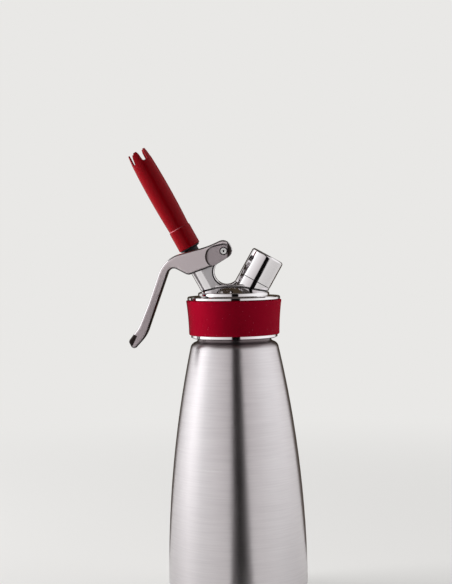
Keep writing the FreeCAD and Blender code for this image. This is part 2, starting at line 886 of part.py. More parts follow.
def make_lever():
    """The cast lever: two cheeks under a slotted web, a tight bend and a tapering arm."""
    reach, height = sizes.pivot_reach, sizes.pivot_height
    arm_reach, arm_top = sizes.bend_reach + sizes.arm_run, sizes.bend_height - sizes.arm_fall
    flick_reach, flick_top = arm_reach + sizes.flick_run, arm_top - sizes.flick_fall
    tip_reach, tip_top = flick_reach + sizes.tip_run, flick_top - sizes.tip_fall

    def at(out, up, rounding=None):
        return corner(reach - out, height + up, rounding)

    body = new_body("lever")
    pad(
        body,
        "lever_plate",
        "XZ_Plane",
        sizes.lever_width,
        [
            at(-sizes.lever_end, -sizes.lever_end_low, sizes.lever_end_radius),
            at(-sizes.lever_end, sizes.lever_end_top, sizes.lever_end_radius),
            at(sizes.back_dip, sizes.back_dip_height, sizes.back_dip_radius),
            at(sizes.bend_reach, sizes.bend_height, sizes.bend_radius),
            at(arm_reach, arm_top, sizes.arm_radius),
            at(flick_reach, flick_top, sizes.flick_radius),
            at(tip_reach, tip_top, sizes.tip_radius),
            at(tip_reach, tip_top - sizes.tip_thickness, sizes.tip_radius),
            at(flick_reach - sizes.palm_back, flick_top - sizes.palm_thickness, sizes.palm_radius),
            at(
                sizes.bend_reach - sizes.bend_inner_back,
                sizes.bend_height - sizes.bend_thickness,
                sizes.bend_inner_radius,
            ),
            at(sizes.lobe_reach, -sizes.lobe_drop, sizes.lobe_radius),
            at(sizes.heel_reach, -sizes.heel_drop, sizes.heel_radius),
        ],
    )
    side = sizes.lever_width / 2
    narrowing = side - sizes.arm_width / 2
    run = tip_reach + sizes.arm_bow_overrun - sizes.fork_depth
    bow = (run * run + narrowing * narrowing) / (narrowing * 2)
    clear = sizes.lever_width
    trims = [
        [
            corner(reach - sizes.fork_depth, clear * hand),
            corner(reach - sizes.fork_depth, side * hand),
            corner(reach - sizes.fork_depth - run, (side - narrowing) * hand, arc=bow * hand),
            corner(reach - sizes.fork_depth - run, clear * hand),
        ]
        for hand in (1, -1)
    ]
    pocket(body, "arm_taper", "XY_Plane", tip_reach * 2, *trims)
    base = body.Tip.Shape
    dress(
        body, "Fillet", "lever_edges", sizes.lever_fillet, lambda edge: on_side_outline(base, edge)
    )
    web_rise = (sizes.bend_height - sizes.back_dip_height) / (sizes.bend_reach - sizes.back_dip)
    under_web = sizes.back_dip_height - sizes.web_thickness
    fork_end = under_web + (sizes.fork_depth - sizes.back_dip) * web_rise
    pocket(
        body,
        "fork",
        "XZ_Plane",
        sizes.fork_gap,
        [
            at(-sizes.lever_end * 2, -sizes.lever_end_low * 3),
            at(-sizes.lever_end * 2, under_web - sizes.web_thickness / 2),
            at(sizes.back_dip, under_web, sizes.back_dip_radius),
            at(sizes.fork_depth, fork_end),
            at(sizes.fork_depth, -sizes.lever_end_low * 3),
        ],
    )
    nose = circle_outline(0, sizes.nose_height, sizes.nose_radius)
    pad(body, "noses", "XZ_Plane", sizes.fork_gap + sizes.nose_radius, nose)
    half = sizes.stem_slot_width / 2
    slot_rounding = half - sizes.running_clearance * 6
    pocket(
        body,
        "stem_slot",
        "XY_Plane",
        sizes.lever_width * 5,
        [
            corner(sizes.stem_slot_in, -half, slot_rounding),
            corner(sizes.stem_slot_in, half, slot_rounding),
            corner(-sizes.stem_slot_out, half, slot_rounding),
            corner(-sizes.stem_slot_out, -half, slot_rounding),
        ],
    )
    pin_hole = circle_outline(reach, height, sizes.pin_radius + sizes.running_clearance)
    pocket(body, "pin_hole", "XZ_Plane", sizes.lever_width * 2, pin_hole)
    head_sink = circle_outline(reach, height, sizes.pin_head_radius + sizes.counterbore_rim)
    sink = pin_seat() - sizes.running_clearance
    for hand, word in ((1, "front"), (-1, "back")):
        cheek_recess(body, word, hand)
        pocket(body, word + "_sink", "XZ_Plane", side, head_sink, shift=(sink + side / 2) * hand)
    in_valve_frame(body)
    return keep(body)


def cheek_recess(body, word, hand):
    """The sunk field round the pin on one cheek, with a sloped rim. It is open at the heel."""
    pin = (sizes.pivot_reach, sizes.pivot_height)
    rear = (pin[0] - sizes.recess_reach, pin[1] - sizes.recess_drop)
    floor = sizes.lever_width / 2 - sizes.recess_depth
    sections = []
    for level, name in ((0, "_recess_floor"), (2, "_recess_mouth")):
        grow = sizes.recess_slope * level
        outline = two_circle_outline(
            pin, sizes.recess_end_radius + grow, rear, sizes.recess_radius + grow
        )
        shift = (floor + sizes.recess_depth * level) * hand
        sections.append(new_sketch(body, "XZ_Plane", word + name, outline, shift=shift))
    loft = body.newObject("PartDesign::SubtractiveLoft", word + "_recess")
    loft.Profile = sections[0]
    loft.Sections = sections[1:]
    loft.Ruled = True
    doc.recompute()


def pin_seat():
    """How far out from the lever's middle plane the pin's head and its clip are seated."""
    cheek = sizes.lever_width / 2
    return cheek - sizes.recess_depth - sizes.pin_head_sink + sizes.running_clearance


def on_side_outline(shape, edge):
    """Whether an edge runs round one of the lever's two side faces."""
    sides = [face for face in shape.ancestorsOfType(edge, Part.Face) if is_side(face)]
    return len(sides) == 1 and abs(edge.CenterOfMass.y) > sizes.arm_width.number / 2 - 0.5


def is_side(face):
    u0, u1, v0, v1 = face.ParameterRange
    return abs(face.normalAt((u0 + u1) / 2, (v0 + v1) / 2).y) > 0.7


def make_lever_pin():
    """The headed pin of the lever and the clip that keeps it, laid across the head's lug."""
    seat = pin_seat()
    face = seat + sizes.pin_head_thickness
    groove_depth = sizes.pin_radius / 5
    clip = sizes.pin_head_thickness - sizes.counterbore_rim / 2
    edge = sizes.pin_head_thickness / 2
    dimple_floor = face - sizes.pin_dimple_depth
    body = new_body("lever_pin")
    revolve(
        body,
        "lever_pin_turned",
        [
            corner(0, -dimple_floor),
            corner(sizes.pin_dimple_radius / 2, -dimple_floor),
            corner(sizes.pin_dimple_radius, -face),
            corner(sizes.pin_head_radius - edge, -face),
            corner(sizes.pin_head_radius, -face + edge, arc=edge),
            corner(sizes.pin_head_radius, -seat),
            corner(sizes.pin_radius, -seat),
            corner(sizes.pin_radius, seat),
            corner(sizes.pin_radius - groove_depth, seat),
            corner(sizes.pin_radius - groove_depth, seat + clip),
            corner(sizes.pin_radius, seat + clip),
            corner(sizes.pin_radius, face),
            corner(0, face),
        ],
    )
    across_pivot(body)
    keep(body)
    collar = new_body("pin_clip")
    inside = sizes.pin_radius - groove_depth + sizes.seat_clearance
    revolve(
        collar,
        "pin_clip_form",
        [
            corner(inside, seat + sizes.seat_clearance),
            corner(sizes.pin_head_radius, seat + sizes.seat_clearance),
            corner(sizes.pin_head_radius, seat + clip - sizes.seat_clearance),
            corner(inside, seat + clip - sizes.seat_clearance),
        ],
    )
    mouth = sizes.pin_radius - groove_depth
    pocket(
        collar,
        "clip_mouth",
        "XY_Plane",
        sizes.lever_width * 2,
        [
            corner(0, -mouth),
            corner(sizes.pin_head_radius * 2, -mouth),
            corner(sizes.pin_head_radius * 2, mouth),
            corner(0, mouth),
        ],
    )
    across_pivot(collar)
    return keep(collar)


# ---------------------------------------------------------------- dispensing valve


def make_valve_bush():
    """The plastic bush that guides the stem through the head, and the ring that seals it."""
    bore = sizes.stem_radius + sizes.running_clearance
    outside = sizes.bush_radius - sizes.seat_clearance
    groove = ring_groove(outside, sizes.bush_radius, sizes.bush_ring_height)
    corners = [corner(bore, sizes.chamber_top), corner(outside, sizes.chamber_top)]
    corners += groove
    corners += [corner(outside, sizes.bush_top), corner(bore, sizes.bush_top)]
    keep(turned_part("valve_bush", in_valve_frame, corners))
    keep(ring("bush_o_ring", in_valve_frame, sizes.bush_ring_height, sizes.bush_radius))


def make_stem():
    """The hollow stem: a disc that closes the valve from inside, side ports, and a threaded top."""
    bore = sizes.stem_radius + sizes.running_clearance
    low = sizes.stem_ring_height
    high = sizes.stem_ring_height + sizes.stem_ring_spacing
    bevel = sizes.stem_bore / 4
    bore_foot = sizes.port_height - sizes.port_radius * 2
    corners = [
        corner(0, sizes.stem_foot),
        corner(sizes.valve_disc_radius - bevel, sizes.stem_foot),
        corner(sizes.valve_disc_radius, sizes.stem_foot + bevel),
        corner(sizes.valve_disc_radius, sizes.valve_disc_top),
        corner(sizes.stem_radius, sizes.valve_disc_top),
    ]
    for height in (low, high):
        corners += ring_groove(sizes.stem_radius, bore, height)
    corners += [
        corner(sizes.stem_radius, sizes.collar_foot),
        corner(sizes.stem_thread_radius, sizes.collar_foot),
        corner(sizes.stem_thread_radius, sizes.stem_top),
        corner(sizes.stem_bore, sizes.stem_top),
        corner(sizes.stem_bore, bore_foot),
        corner(0, bore_foot),
    ]
    body = new_body("piston_stem")
    revolve(body, "piston_stem_turned", corners)
    port = circle_outline(0, sizes.port_height, sizes.port_radius)
    pocket(body, "side_ports", "XZ_Plane", sizes.stem_radius * 4, port)
    port = circle_outline(0, sizes.port_height, sizes.port_radius)
    pocket(body, "cross_ports", "YZ_Plane", sizes.stem_radius * 4, port)
    in_valve_frame(body)
    keep(body)
    rings = doc.addObject("Part::Compound", "stem_o_rings")
    rings.Links = [
        ring("stem_ring_low", in_valve_frame, low, bore),
        ring("stem_ring_high", in_valve_frame, high, bore),
    ]
    doc.recompute()
    keep(rings)


def make_piston_seal():
    """The soft ring on the stem's disc, pressed up against the head's seat."""
    inside = sizes.stem_radius + sizes.seat_clearance
    corners = [
        corner(inside, sizes.valve_disc_top),
        corner(sizes.valve_seal_radius, sizes.valve_disc_top),
        corner(sizes.valve_seal_radius, sizes.guide_foot),
        corner(inside, sizes.guide_foot),
    ]
    keep(turned_part("piston_seal", in_valve_frame, corners))


def make_spring_collar():
    """The collar that the lever presses. Its hub centres the spring on the stem."""
    thread = sizes.stem_thread_radius + sizes.seat_clearance
    hub_bore = sizes.stem_radius + sizes.seat_clearance
    hub = sizes.spring_radius - sizes.spring_wire / 2 - sizes.running_clearance
    top = sizes.collar_foot + sizes.collar_thickness
    edge = sizes.collar_thickness / 4
    corners = [
        corner(thread, sizes.collar_foot),
        corner(hub_bore, sizes.collar_foot),
        corner(hub_bore, sizes.collar_foot - sizes.collar_hub),
        corner(hub, sizes.collar_foot - sizes.collar_hub),
        corner(hub, sizes.collar_foot),
        corner(sizes.collar_radius, sizes.collar_foot),
        corner(sizes.collar_radius, top - edge),
        corner(sizes.collar_radius - edge, top),
        corner(thread, top),
    ]
    keep(turned_part("spring_collar", in_valve_frame, corners))


def make_spring():
    """The coil spring between its pocket in the post and the collar."""
    half = sizes.spring_wire / 2
    foot = sizes.spring_seat + half + sizes.seat_clearance
    body = new_body("return_spring")
    wire = circle_outline(sizes.spring_radius, foot, half)
    sketch = new_sketch(body, "XZ_Plane", "spring_wire_section", wire)
    coil = body.newObject("PartDesign::AdditiveHelix", "spring_coil")
    coil.Profile = sketch
    coil.ReferenceAxis = (sketch, ["V_Axis"])
    coil.Mode = 2
    bind(coil, "Height", sizes.collar_foot - half - sizes.seat_clearance - foot)
    bind(coil, "Turns", sizes.spring_turns)
    doc.recompute()
    in_valve_frame(body)
    keep(body)


def make_adapter():
    """The adapter on the stem's thread: a neck through the lever's web, a flange and a spigot."""
    foot = sizes.collar_foot + sizes.collar_thickness
    thread = sizes.stem_thread_radius + sizes.seat_clearance
    socket = sizes.spigot_radius + sizes.socket_clearance
    edge = sizes.spigot_radius / 8
    corners = [
        corner(thread, foot),
        corner(sizes.adapter_neck_radius, foot),
        corner(sizes.adapter_neck_radius, sizes.adapter_flange_foot - edge),
        corner(sizes.adapter_flange_radius, sizes.adapter_flange_foot),
        corner(sizes.adapter_flange_radius, sizes.nozzle_foot),
        corner(sizes.spigot_radius, sizes.nozzle_foot),
    ]
    corners += ring_groove(sizes.spigot_radius, socket, sizes.spigot_ring_height)
    corners += [
        corner(sizes.spigot_radius, sizes.spigot_top - edge),
        corner(sizes.spigot_radius - edge, sizes.spigot_top),
        corner(sizes.stem_bore, sizes.spigot_top),
        corner(sizes.stem_bore, sizes.stem_top + sizes.seat_clearance),
        corner(thread, sizes.stem_top + sizes.seat_clearance),
    ]
    keep(turned_part("nozzle_adapter", in_valve_frame, corners))
    keep(ring("adapter_o_ring", in_valve_frame, sizes.spigot_ring_height, socket))


def make_nozzle():
    """The decorating nozzle: a collar, a slightly bellied tube and a crown of prongs."""
    foot = sizes.nozzle_foot
    collar_top = foot + sizes.nozzle_collar_length
    tube = sizes.nozzle_collar_radius - sizes.nozzle_step
    tip = foot + sizes.nozzle_length
    crown = tip - sizes.prong_length
    socket = sizes.spigot_radius + sizes.socket_clearance
    socket_top = sizes.spigot_top + sizes.nozzle_step
    inside = tube - sizes.nozzle_wall
    edge = sizes.nozzle_step
    body = new_body("nozzle")
    revolve(
        body,
        "nozzle_turned",
        [
            corner(socket, foot),
            corner(sizes.nozzle_collar_radius - edge, foot),
            corner(sizes.nozzle_collar_radius, foot + edge),
            corner(sizes.nozzle_collar_radius, collar_top - edge),
            corner(tube, collar_top),
            corner(sizes.nozzle_root_radius, crown, arc=sizes.nozzle_bulge_radius),
            corner(sizes.nozzle_tip_radius, tip),
            corner(sizes.nozzle_tip_radius - sizes.prong_wall, tip),
            corner(sizes.nozzle_root_radius - sizes.nozzle_wall, crown),
            corner(inside, collar_top, arc=-(sizes.nozzle_bulge_radius - sizes.nozzle_wall)),
            corner(inside, socket_top + (inside - socket)),
            corner(socket, socket_top),
        ],
    )
    shoulder = tip - sizes.prong_wall * 2
    half_pitch = sizes.nozzle_tip_radius * sine(Size(180) / sizes.prong_count)
    flare = half_pitch - sizes.prong_tip
    slot = [
        corner(-sizes.slot_foot, crown, sizes.slot_radius),
        corner(sizes.slot_foot, crown, sizes.slot_radius),
        corner(sizes.slot_mouth, shoulder, sizes.slot_radius),
        corner(flare, tip + edge),
        corner(-flare, tip + edge),
        corner(-sizes.slot_mouth, shoulder, sizes.slot_radius),
    ]
    sketch = new_sketch(body, "XZ_Plane", "prong_slot_profile", slot)
    turn = FreeCAD.Rotation(FreeCAD.Vector(0, 1, 0), sizes.slot_turn.number)
    sketch.AttachmentOffset = FreeCAD.Placement(FreeCAD.Vector(), turn)
    sketch.setExpression("AttachmentOffset.Rotation.Angle", f"{sizes.slot_turn.formula} * 1 deg")
    slotted = body.newObject("PartDesign::Pocket", "prong_slot")
    slotted.Profile = sketch
    slotted.Reversed = True
    bind(slotted, "Length", sizes.nozzle_collar_radius * 2)
    doc.recompute()
    crown_pattern = body.newObject("PartDesign::PolarPattern", "prong_slots")
    crown_pattern.Originals = [slotted]
    axis = [f for f in body.Origin.OriginFeatures if f.Role == "Z_Axis"][0]
    crown_pattern.Axis = (axis, [""])
    crown_pattern.Angle = 360.0
    crown_pattern.Occurrences = int(sizes.prong_count.number)
    body.Tip = crown_pattern
    doc.recompute()
    in_valve_frame(body)
    keep(body)


# ---------------------------------------------------------------- gas inlet


def make_inlet():
    """The screwed-in inlet: a spigot for the charger's holder, a seal, a hollow needle and the
    check valve under it."""
    shank = sizes.insert_radius - sizes.seat_clearance
    edge = sizes.cap_wall / 4
    corners = [
        corner(sizes.check_chamber_radius, sizes.insert_foot + sizes.seat_clearance),
        corner(shank, sizes.insert_foot + sizes.seat_clearance),
    ]
    corners += ring_groove(shank, sizes.insert_radius, sizes.inlet_ring_height)
    corners += [
        corner(shank, sizes.boss_height),
        corner(sizes.inlet_spigot_radius, sizes.boss_height),
        corner(sizes.inlet_spigot_radius, sizes.inlet_spigot_top - edge),
        corner(sizes.inlet_spigot_radius - edge, sizes.inlet_spigot_top),
        corner(sizes.charger_bore, sizes.inlet_spigot_top),
        corner(sizes.charger_bore, sizes.charger_seat),
        corner(sizes.needle_radius + sizes.seat_clearance, sizes.charger_seat),
        corner(sizes.needle_radius + sizes.seat_clearance, sizes.needle_foot),
        corner(sizes.gas_port_radius, sizes.needle_foot),
        corner(sizes.gas_port_radius, sizes.check_seat),
        corner(sizes.check_chamber_radius, sizes.check_seat),
    ]
    keep(turned_part("inlet_valve_body", in_gas_frame, corners))
    keep(ring("inlet_o_ring", in_gas_frame, sizes.inlet_ring_height, sizes.insert_radius))
    needle = [
        corner(sizes.needle_bore, sizes.needle_foot),
        corner(sizes.needle_radius, sizes.needle_foot),
        corner(sizes.needle_radius, sizes.needle_top - sizes.needle_point),
        corner(sizes.needle_bore, sizes.needle_top),
    ]
    keep(turned_part("piercing_pin", in_gas_frame, needle))
    seal_side = sizes.charger_bore - sizes.seat_clearance
    seal_top = sizes.charger_seat + sizes.charger_seal_thickness
    seal = [
        corner(sizes.charger_seal_bore, sizes.charger_seat),
        corner(seal_side, sizes.charger_seat),
        corner(seal_side, seal_top),
        corner(sizes.charger_seal_bore, seal_top),
    ]
    keep(turned_part("charger_seal", in_gas_frame, seal))


def make_check_valve():
    """The soft disc that lets gas in only, and the drilled plug that keeps it under its seat."""
    side = sizes.check_chamber_radius - sizes.seat_clearance
    disc_top = sizes.check_seat - sizes.check_play
    disc_foot = disc_top - sizes.check_disc_thickness
    disc = [
        corner(0, disc_foot),
        corner(side - sizes.check_play, disc_foot),
        corner(side - sizes.check_play, disc_top),
        corner(0, disc_top),
    ]
    keep(turned_part("check_valve_disc", in_gas_frame, disc))
    plug_top = disc_foot - sizes.check_play
    plug = [
        corner(sizes.retainer_bore, sizes.retainer_foot),
        corner(side, sizes.retainer_foot),
        corner(side, plug_top),
        corner(sizes.retainer_bore, plug_top),
    ]
    keep(turned_part("check_valve_retainer", in_gas_frame, plug))


def make_cap():
    """The screw cap that covers the gas inlet, with its vent hole."""
    foot = sizes.boss_height + sizes.cap_seam
    thread = sizes.inlet_spigot_radius + sizes.socket_clearance
    roof = sizes.cap_height - sizes.cap_roof
    ledge = sizes.inlet_spigot_top + sizes.cap_seam * 2
    upper = sizes.boss_radius - sizes.cap_upper_wall
    body = new_body("charger_cap")
    revolve(
        body,
        "charger_cap_turned",
        [
            corner(thread, foot),
            corner(sizes.boss_radius, foot),
            corner(sizes.boss_radius, sizes.cap_height - sizes.cap_rounding),
            corner(sizes.boss_radius - sizes.cap_rounding, sizes.cap_height, arc=sizes.cap_rounding),
            corner(0, sizes.cap_height),
            corner(0, roof),
            corner(upper, roof),
            corner(upper, ledge + (thread - upper)),
            corner(thread, ledge),
        ],
    )
    vent = circle_outline(0, sizes.vent_height, sizes.vent_radius)
    depth = sizes.cap_upper_wall * 3
    pocket(body, "vent_hole", "YZ_Plane", depth, vent, shift=sizes.boss_radius)
    in_gas_frame(body)
    keep(body)


make_bottle()
make_gasket()
make_head()
make_band()
make_lever()
make_lever_pin()
make_valve_bush()
make_stem()
make_piston_seal()
make_spring_collar()
make_spring()
make_adapter()
make_nozzle()
make_inlet()
make_check_valve()
make_cap()
doc.recompute()

faults = [o.Name for o in doc.Objects if "Invalid" in o.State or "Error" in o.State]
faults += [p.Label for p in parts if p.Shape.isNull() or not p.Shape.isValid()]
if faults:
    raise SystemExit(f"these objects failed: {faults}")
os.makedirs("parts", exist_ok=True)
for part in parts:
    part.Shape.exportStep(f"parts/{part.Label}.step")
    print(part.Label, len(part.Shape.Solids), round(part.Shape.Volume, 1))
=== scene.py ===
import math

import bmesh
import bpy
from mathutils import Euler, Matrix, Vector


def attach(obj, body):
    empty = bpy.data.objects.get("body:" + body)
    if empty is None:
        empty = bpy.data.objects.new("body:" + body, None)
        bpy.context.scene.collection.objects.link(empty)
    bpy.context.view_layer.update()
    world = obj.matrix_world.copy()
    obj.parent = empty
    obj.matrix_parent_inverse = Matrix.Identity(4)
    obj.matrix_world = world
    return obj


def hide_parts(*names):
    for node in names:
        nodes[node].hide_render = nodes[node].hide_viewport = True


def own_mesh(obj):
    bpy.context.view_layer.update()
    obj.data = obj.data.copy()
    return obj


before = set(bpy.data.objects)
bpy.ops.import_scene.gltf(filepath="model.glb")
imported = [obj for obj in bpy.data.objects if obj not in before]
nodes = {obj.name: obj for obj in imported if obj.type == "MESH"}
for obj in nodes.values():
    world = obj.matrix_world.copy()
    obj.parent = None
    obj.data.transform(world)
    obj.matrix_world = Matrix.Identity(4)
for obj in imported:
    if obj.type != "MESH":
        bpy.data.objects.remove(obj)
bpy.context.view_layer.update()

scene = bpy.context.scene


def hexColour(text):
    # sRGB hex to the linear values that shaders take
    def linear(part):
        value = int(part, 16) / 255
        return value / 12.92 if value <= 0.04045 else ((value + 0.055) / 1.055) ** 2.4

    return (*(linear(text[i:i + 2]) for i in (1, 3, 5)), 1.0)


def addNode(tree, kind, settings=None, links=None):
    # a setting's key is a property, or an input's name or number; links lead outputs to inputs
    node = tree.nodes.new("ShaderNode" + kind)
    for key, value in (settings or {}).items():
        if hasattr(node, str(key)):
            setattr(node, key, value)
        else:
            node.inputs[key].default_value = value
    for key, output in (links or {}).items():
        tree.links.new(output, node.inputs[key])
    return node


def newMaterial(name):
    material = bpy.data.materials.new(name)
    material.use_nodes = True
    tree = material.node_tree
    tree.nodes.clear()
    return material, tree


def finishMaterial(tree, shader):
    addNode(tree, "OutputMaterial", links={"Surface": shader.outputs[0]})


def setStops(ramp, stops):
    # stops are positions from 0 upwards, each with its linear colour
    elements = ramp.color_ramp.elements
    while len(elements) > 1:
        elements.remove(elements[-1])
    for number, (position, colour) in enumerate(stops):
        stop = elements.new(position) if number else elements[0]
        stop.color = colour


def sideDistance(tree, place, centre):
    # how far a point is from the centre, seen from the side, so without Y
    sheet = addNode(tree, "VectorMath", {"operation": "MULTIPLY", 1: (1, 0, 1)}, {0: place})
    return addNode(tree, "VectorMath", {"operation": "DISTANCE", 1: centre}, {0: sheet.outputs[0]})


def coverNodes(material, *names):
    for name in names:
        mesh = nodes[name].data
        mesh.materials.clear()
        mesh.materials.append(material)


# Stainless steel, spun and brushed round its axis: soft vertical highlights with fine level lines
bottleSteel = {
    "colour": "#DDD9DB",
    "streakColour": "#CAC5C8",
    "roughness": (0.27, 0.38),
    "roughnessFrom": (0.3, 0.7),     # the part of the noise that spreads over that roughness
    "anisotropy": 0.88,
    "anisotropyTurn": 0.25,          # a quarter turn makes the highlights upright
    "lineSpacing": 0.0009,           # real lines are about 0.15 mm apart, drawn coarser to show
    "lineLength": 0.030,
    "lineHarshness": 0.6,
    "blotchSize": 1 / 28,            # about 36 mm
    "blotchShare": 0.35,
    "bump": 0.00002,
    "neck": (0.1818, 0.1868),        # over these heights the colour darkens towards the neck: painted shade under the head's ring
    "neckColour": "#7A7072",
}


def makeBottleSteel():
    v = bottleSteel
    material, tree = newMaterial("spunStainless")
    place = addNode(tree, "TexCoord").outputs["Object"]
    across, along = 1 / v["lineLength"], 1 / v["lineSpacing"]
    squeeze = addNode(tree, "Mapping", {"Scale": (across, across, along)}, {"Vector": place})
    lines = addNode(tree, "TexNoise",
                    {"Scale": 1.0, "Detail": 3.0, "Roughness": v["lineHarshness"]},
                    {"Vector": squeeze.outputs[0]})
    patches = addNode(tree, "TexNoise", {"Scale": 1 / v["blotchSize"], "Detail": 2.0},
                      {"Vector": place})
    shades = {"data_type": "RGBA", 6: hexColour(v["colour"]), 7: hexColour(v["streakColour"])}
    tint = addNode(tree, "Mix", shades, {0: lines.outputs["Fac"]})
    height = addNode(tree, "SeparateXYZ", links={"Vector": place})
    # painted shade: the colour darkens towards the neck, under the head's ring
    foot, top = v["neck"]
    neck = addNode(tree, "MapRange",
                   {"From Min": foot, "From Max": top, "interpolation_type": "SMOOTHSTEP"},
                   {"Value": height.outputs["Z"]})
    tone = addNode(tree, "Mix", {"data_type": "RGBA", 7: hexColour(v["neckColour"])},
                   {0: neck.outputs[0], 6: tint.outputs[2]})
    blotch = addNode(tree, "Math", {"operation": "MULTIPLY", 1: v["blotchShare"]},
                     {0: patches.outputs["Fac"]})
    mixed = addNode(tree, "Math", {"operation": "MULTIPLY_ADD", 1: 1 - v["blotchShare"]},
                    {0: lines.outputs["Fac"], 2: blotch.outputs[0]})
    low, high = v["roughness"]
    start, end = v["roughnessFrom"]
    rough = addNode(tree, "MapRange",
                    {"From Min": start, "From Max": end, "To Min": low, "To Max": high},
                    {"Value": mixed.outputs[0]})
    bump = addNode(tree, "Bump", {"Strength": 1.0, "Distance": v["bump"]},
                   {"Height": lines.outputs["Fac"]})
    turn = addNode(tree, "Tangent", {"direction_type": "RADIAL", "axis": "Z"})
    settings = {"Metallic": 1.0, "Anisotropic": v["anisotropy"],
                "Anisotropic Rotation": v["anisotropyTurn"]}
    shader = addNode(tree, "BsdfPrincipled", settings,
                     {"Base Color": tone.outputs[2], "Roughness": rough.outputs[0],
                      "Normal": bump.outputs[0], "Tangent": turn.outputs[0]})
    finishMaterial(tree, shader)
    return material


# Stainless steel, mirror polished on a wheel: hard reflections, a faint haze and slow waves
headSteel = {
    "colour": "#E6E3E5",
    "roughness": (0.04, 0.08),
    "roughnessFrom": (0.35, 0.7),
    "hazeSize": 0.00625,
    "waveSize": 0.012,
    "wave": 0.00003,
    "webRoughness": 0.46,            # the flat web was only sanded, not polished
    "webFacing": (0.993, 0.998),     # how squarely its faces look sideways
    "webFoot": 0.225,
    "webEnd": 0.006,
    "webFade": 0.001,
    "shadeLineColour": "#1B1716",         # painted shade: dark lines in the gap over the dome, in the cap's seam and along the notch's rim
    # each line has its level and half its width
    "grooveCentre": (0, 0, 0.162023),
    "grooveRadius": (0.0664, 0.00036),
    "grooveFoot": 0.2206,
    "notchCentre": (-0.004722, 0, 0.238029),
    "notchLine": (0.01045, 0.00042),
    "seamAxis": (0.49546, 0, 0.86863),
    "seamHeight": (0.20858, 0.00024),
    "seamEnd": 0.004,
}


def makeHeadSteel():
    v = headSteel
    material, tree = newMaterial("polishedStainless")
    texture = addNode(tree, "TexCoord")
    place = texture.outputs["Object"]
    where = addNode(tree, "SeparateXYZ", links={"Vector": place})
    facing = addNode(tree, "SeparateXYZ", links={"Vector": texture.outputs["Normal"]})
    haze = addNode(tree, "TexNoise", {"Scale": 1 / v["hazeSize"], "Detail": 4.0},
                   {"Vector": place})
    waves = addNode(tree, "TexNoise", {"Scale": 1 / v["waveSize"], "Detail": 1.0},
                    {"Vector": place})
    finest, dullest = v["roughness"]
    start, end = v["roughnessFrom"]
    rough = addNode(tree, "MapRange",
                    {"From Min": start, "From Max": end, "To Min": finest, "To Max": dullest},
                    {"Value": haze.outputs["Fac"]})
    bump = addNode(tree, "Bump", {"Strength": 1.0, "Distance": v["wave"]},
                   {"Height": waves.outputs["Fac"]})

    # the sanded web: faces that look squarely sideways, above its foot and short of its end
    side = addNode(tree, "Math", {"operation": "ABSOLUTE"}, {0: facing.outputs["Y"]})
    start, end = v["webFacing"]
    web = addNode(tree, "MapRange", {"From Min": start, "From Max": end},
                  {"Value": side.outputs[0]})
    high = addNode(tree, "MapRange",
                   {"From Min": v["webFoot"], "From Max": v["webFoot"] + v["webFade"]},
                   {"Value": where.outputs["Z"]})
    inner = addNode(tree, "MapRange",
                    {"From Min": v["webEnd"], "From Max": v["webEnd"] - v["webFade"]},
                    {"Value": where.outputs["X"]})
    for mask in (high, inner):
        web = addNode(tree, "Math", {"operation": "MULTIPLY"},
                      {0: web.outputs[0], 1: mask.outputs[0]})
    finish = addNode(tree, "Mix", {"data_type": "FLOAT", 3: v["webRoughness"]},
                     {0: web.outputs[0], 2: rough.outputs[0]})

    # the shadow line over the dome, on a sphere
    spoke = addNode(tree, "VectorMath", {"operation": "DISTANCE", 1: v["grooveCentre"]},
                    {0: place})
    level, reach = v["grooveRadius"]
    groove = addNode(tree, "Math", {"operation": "COMPARE", 1: level, 2: reach},
                     {0: spoke.outputs["Value"]})
    above = addNode(tree, "Math", {"operation": "GREATER_THAN", 1: v["grooveFoot"]},
                    {0: where.outputs["Z"]})
    groove = addNode(tree, "Math", {"operation": "MULTIPLY"},
                     {0: groove.outputs[0], 1: above.outputs[0]})

    # the seam under the cap, square to the gas axis
    along = addNode(tree, "VectorMath", {"operation": "DOT_PRODUCT", 1: v["seamAxis"]}, {0: place})
    level, reach = v["seamHeight"]
    seam = addNode(tree, "Math", {"operation": "COMPARE", 1: level, 2: reach},
                   {0: along.outputs["Value"]})
    right = addNode(tree, "Math", {"operation": "GREATER_THAN", 1: v["seamEnd"]},
                    {0: where.outputs["X"]})
    seam = addNode(tree, "Math", {"operation": "MULTIPLY"},
                   {0: seam.outputs[0], 1: right.outputs[0]})

    # the rim of the web's round notch
    notch = sideDistance(tree, place, v["notchCentre"])
    level, reach = v["notchLine"]
    rim = addNode(tree, "Math", {"operation": "COMPARE", 1: level, 2: reach},
                  {0: notch.outputs["Value"]})
    rim = addNode(tree, "Math", {"operation": "MULTIPLY"}, {0: rim.outputs[0], 1: web.outputs[0]})

    # painted shade: these three lines darken the colour
    shadeLine = groove
    for mask in (seam, rim):
        shadeLine = addNode(tree, "Math", {"operation": "MAXIMUM"},
                       {0: shadeLine.outputs[0], 1: mask.outputs[0]})
    shades = {"data_type": "RGBA", 6: hexColour(v["colour"]), 7: hexColour(v["shadeLineColour"])}
    tint = addNode(tree, "Mix", shades, {0: shadeLine.outputs[0]})
    shader = addNode(tree, "BsdfPrincipled", {"Metallic": 1.0},
                     {"Base Color": tint.outputs[2], "Roughness": finish.outputs[0],
                      "Normal": bump.outputs[0]})
    finishMaterial(tree, shader)
    return material


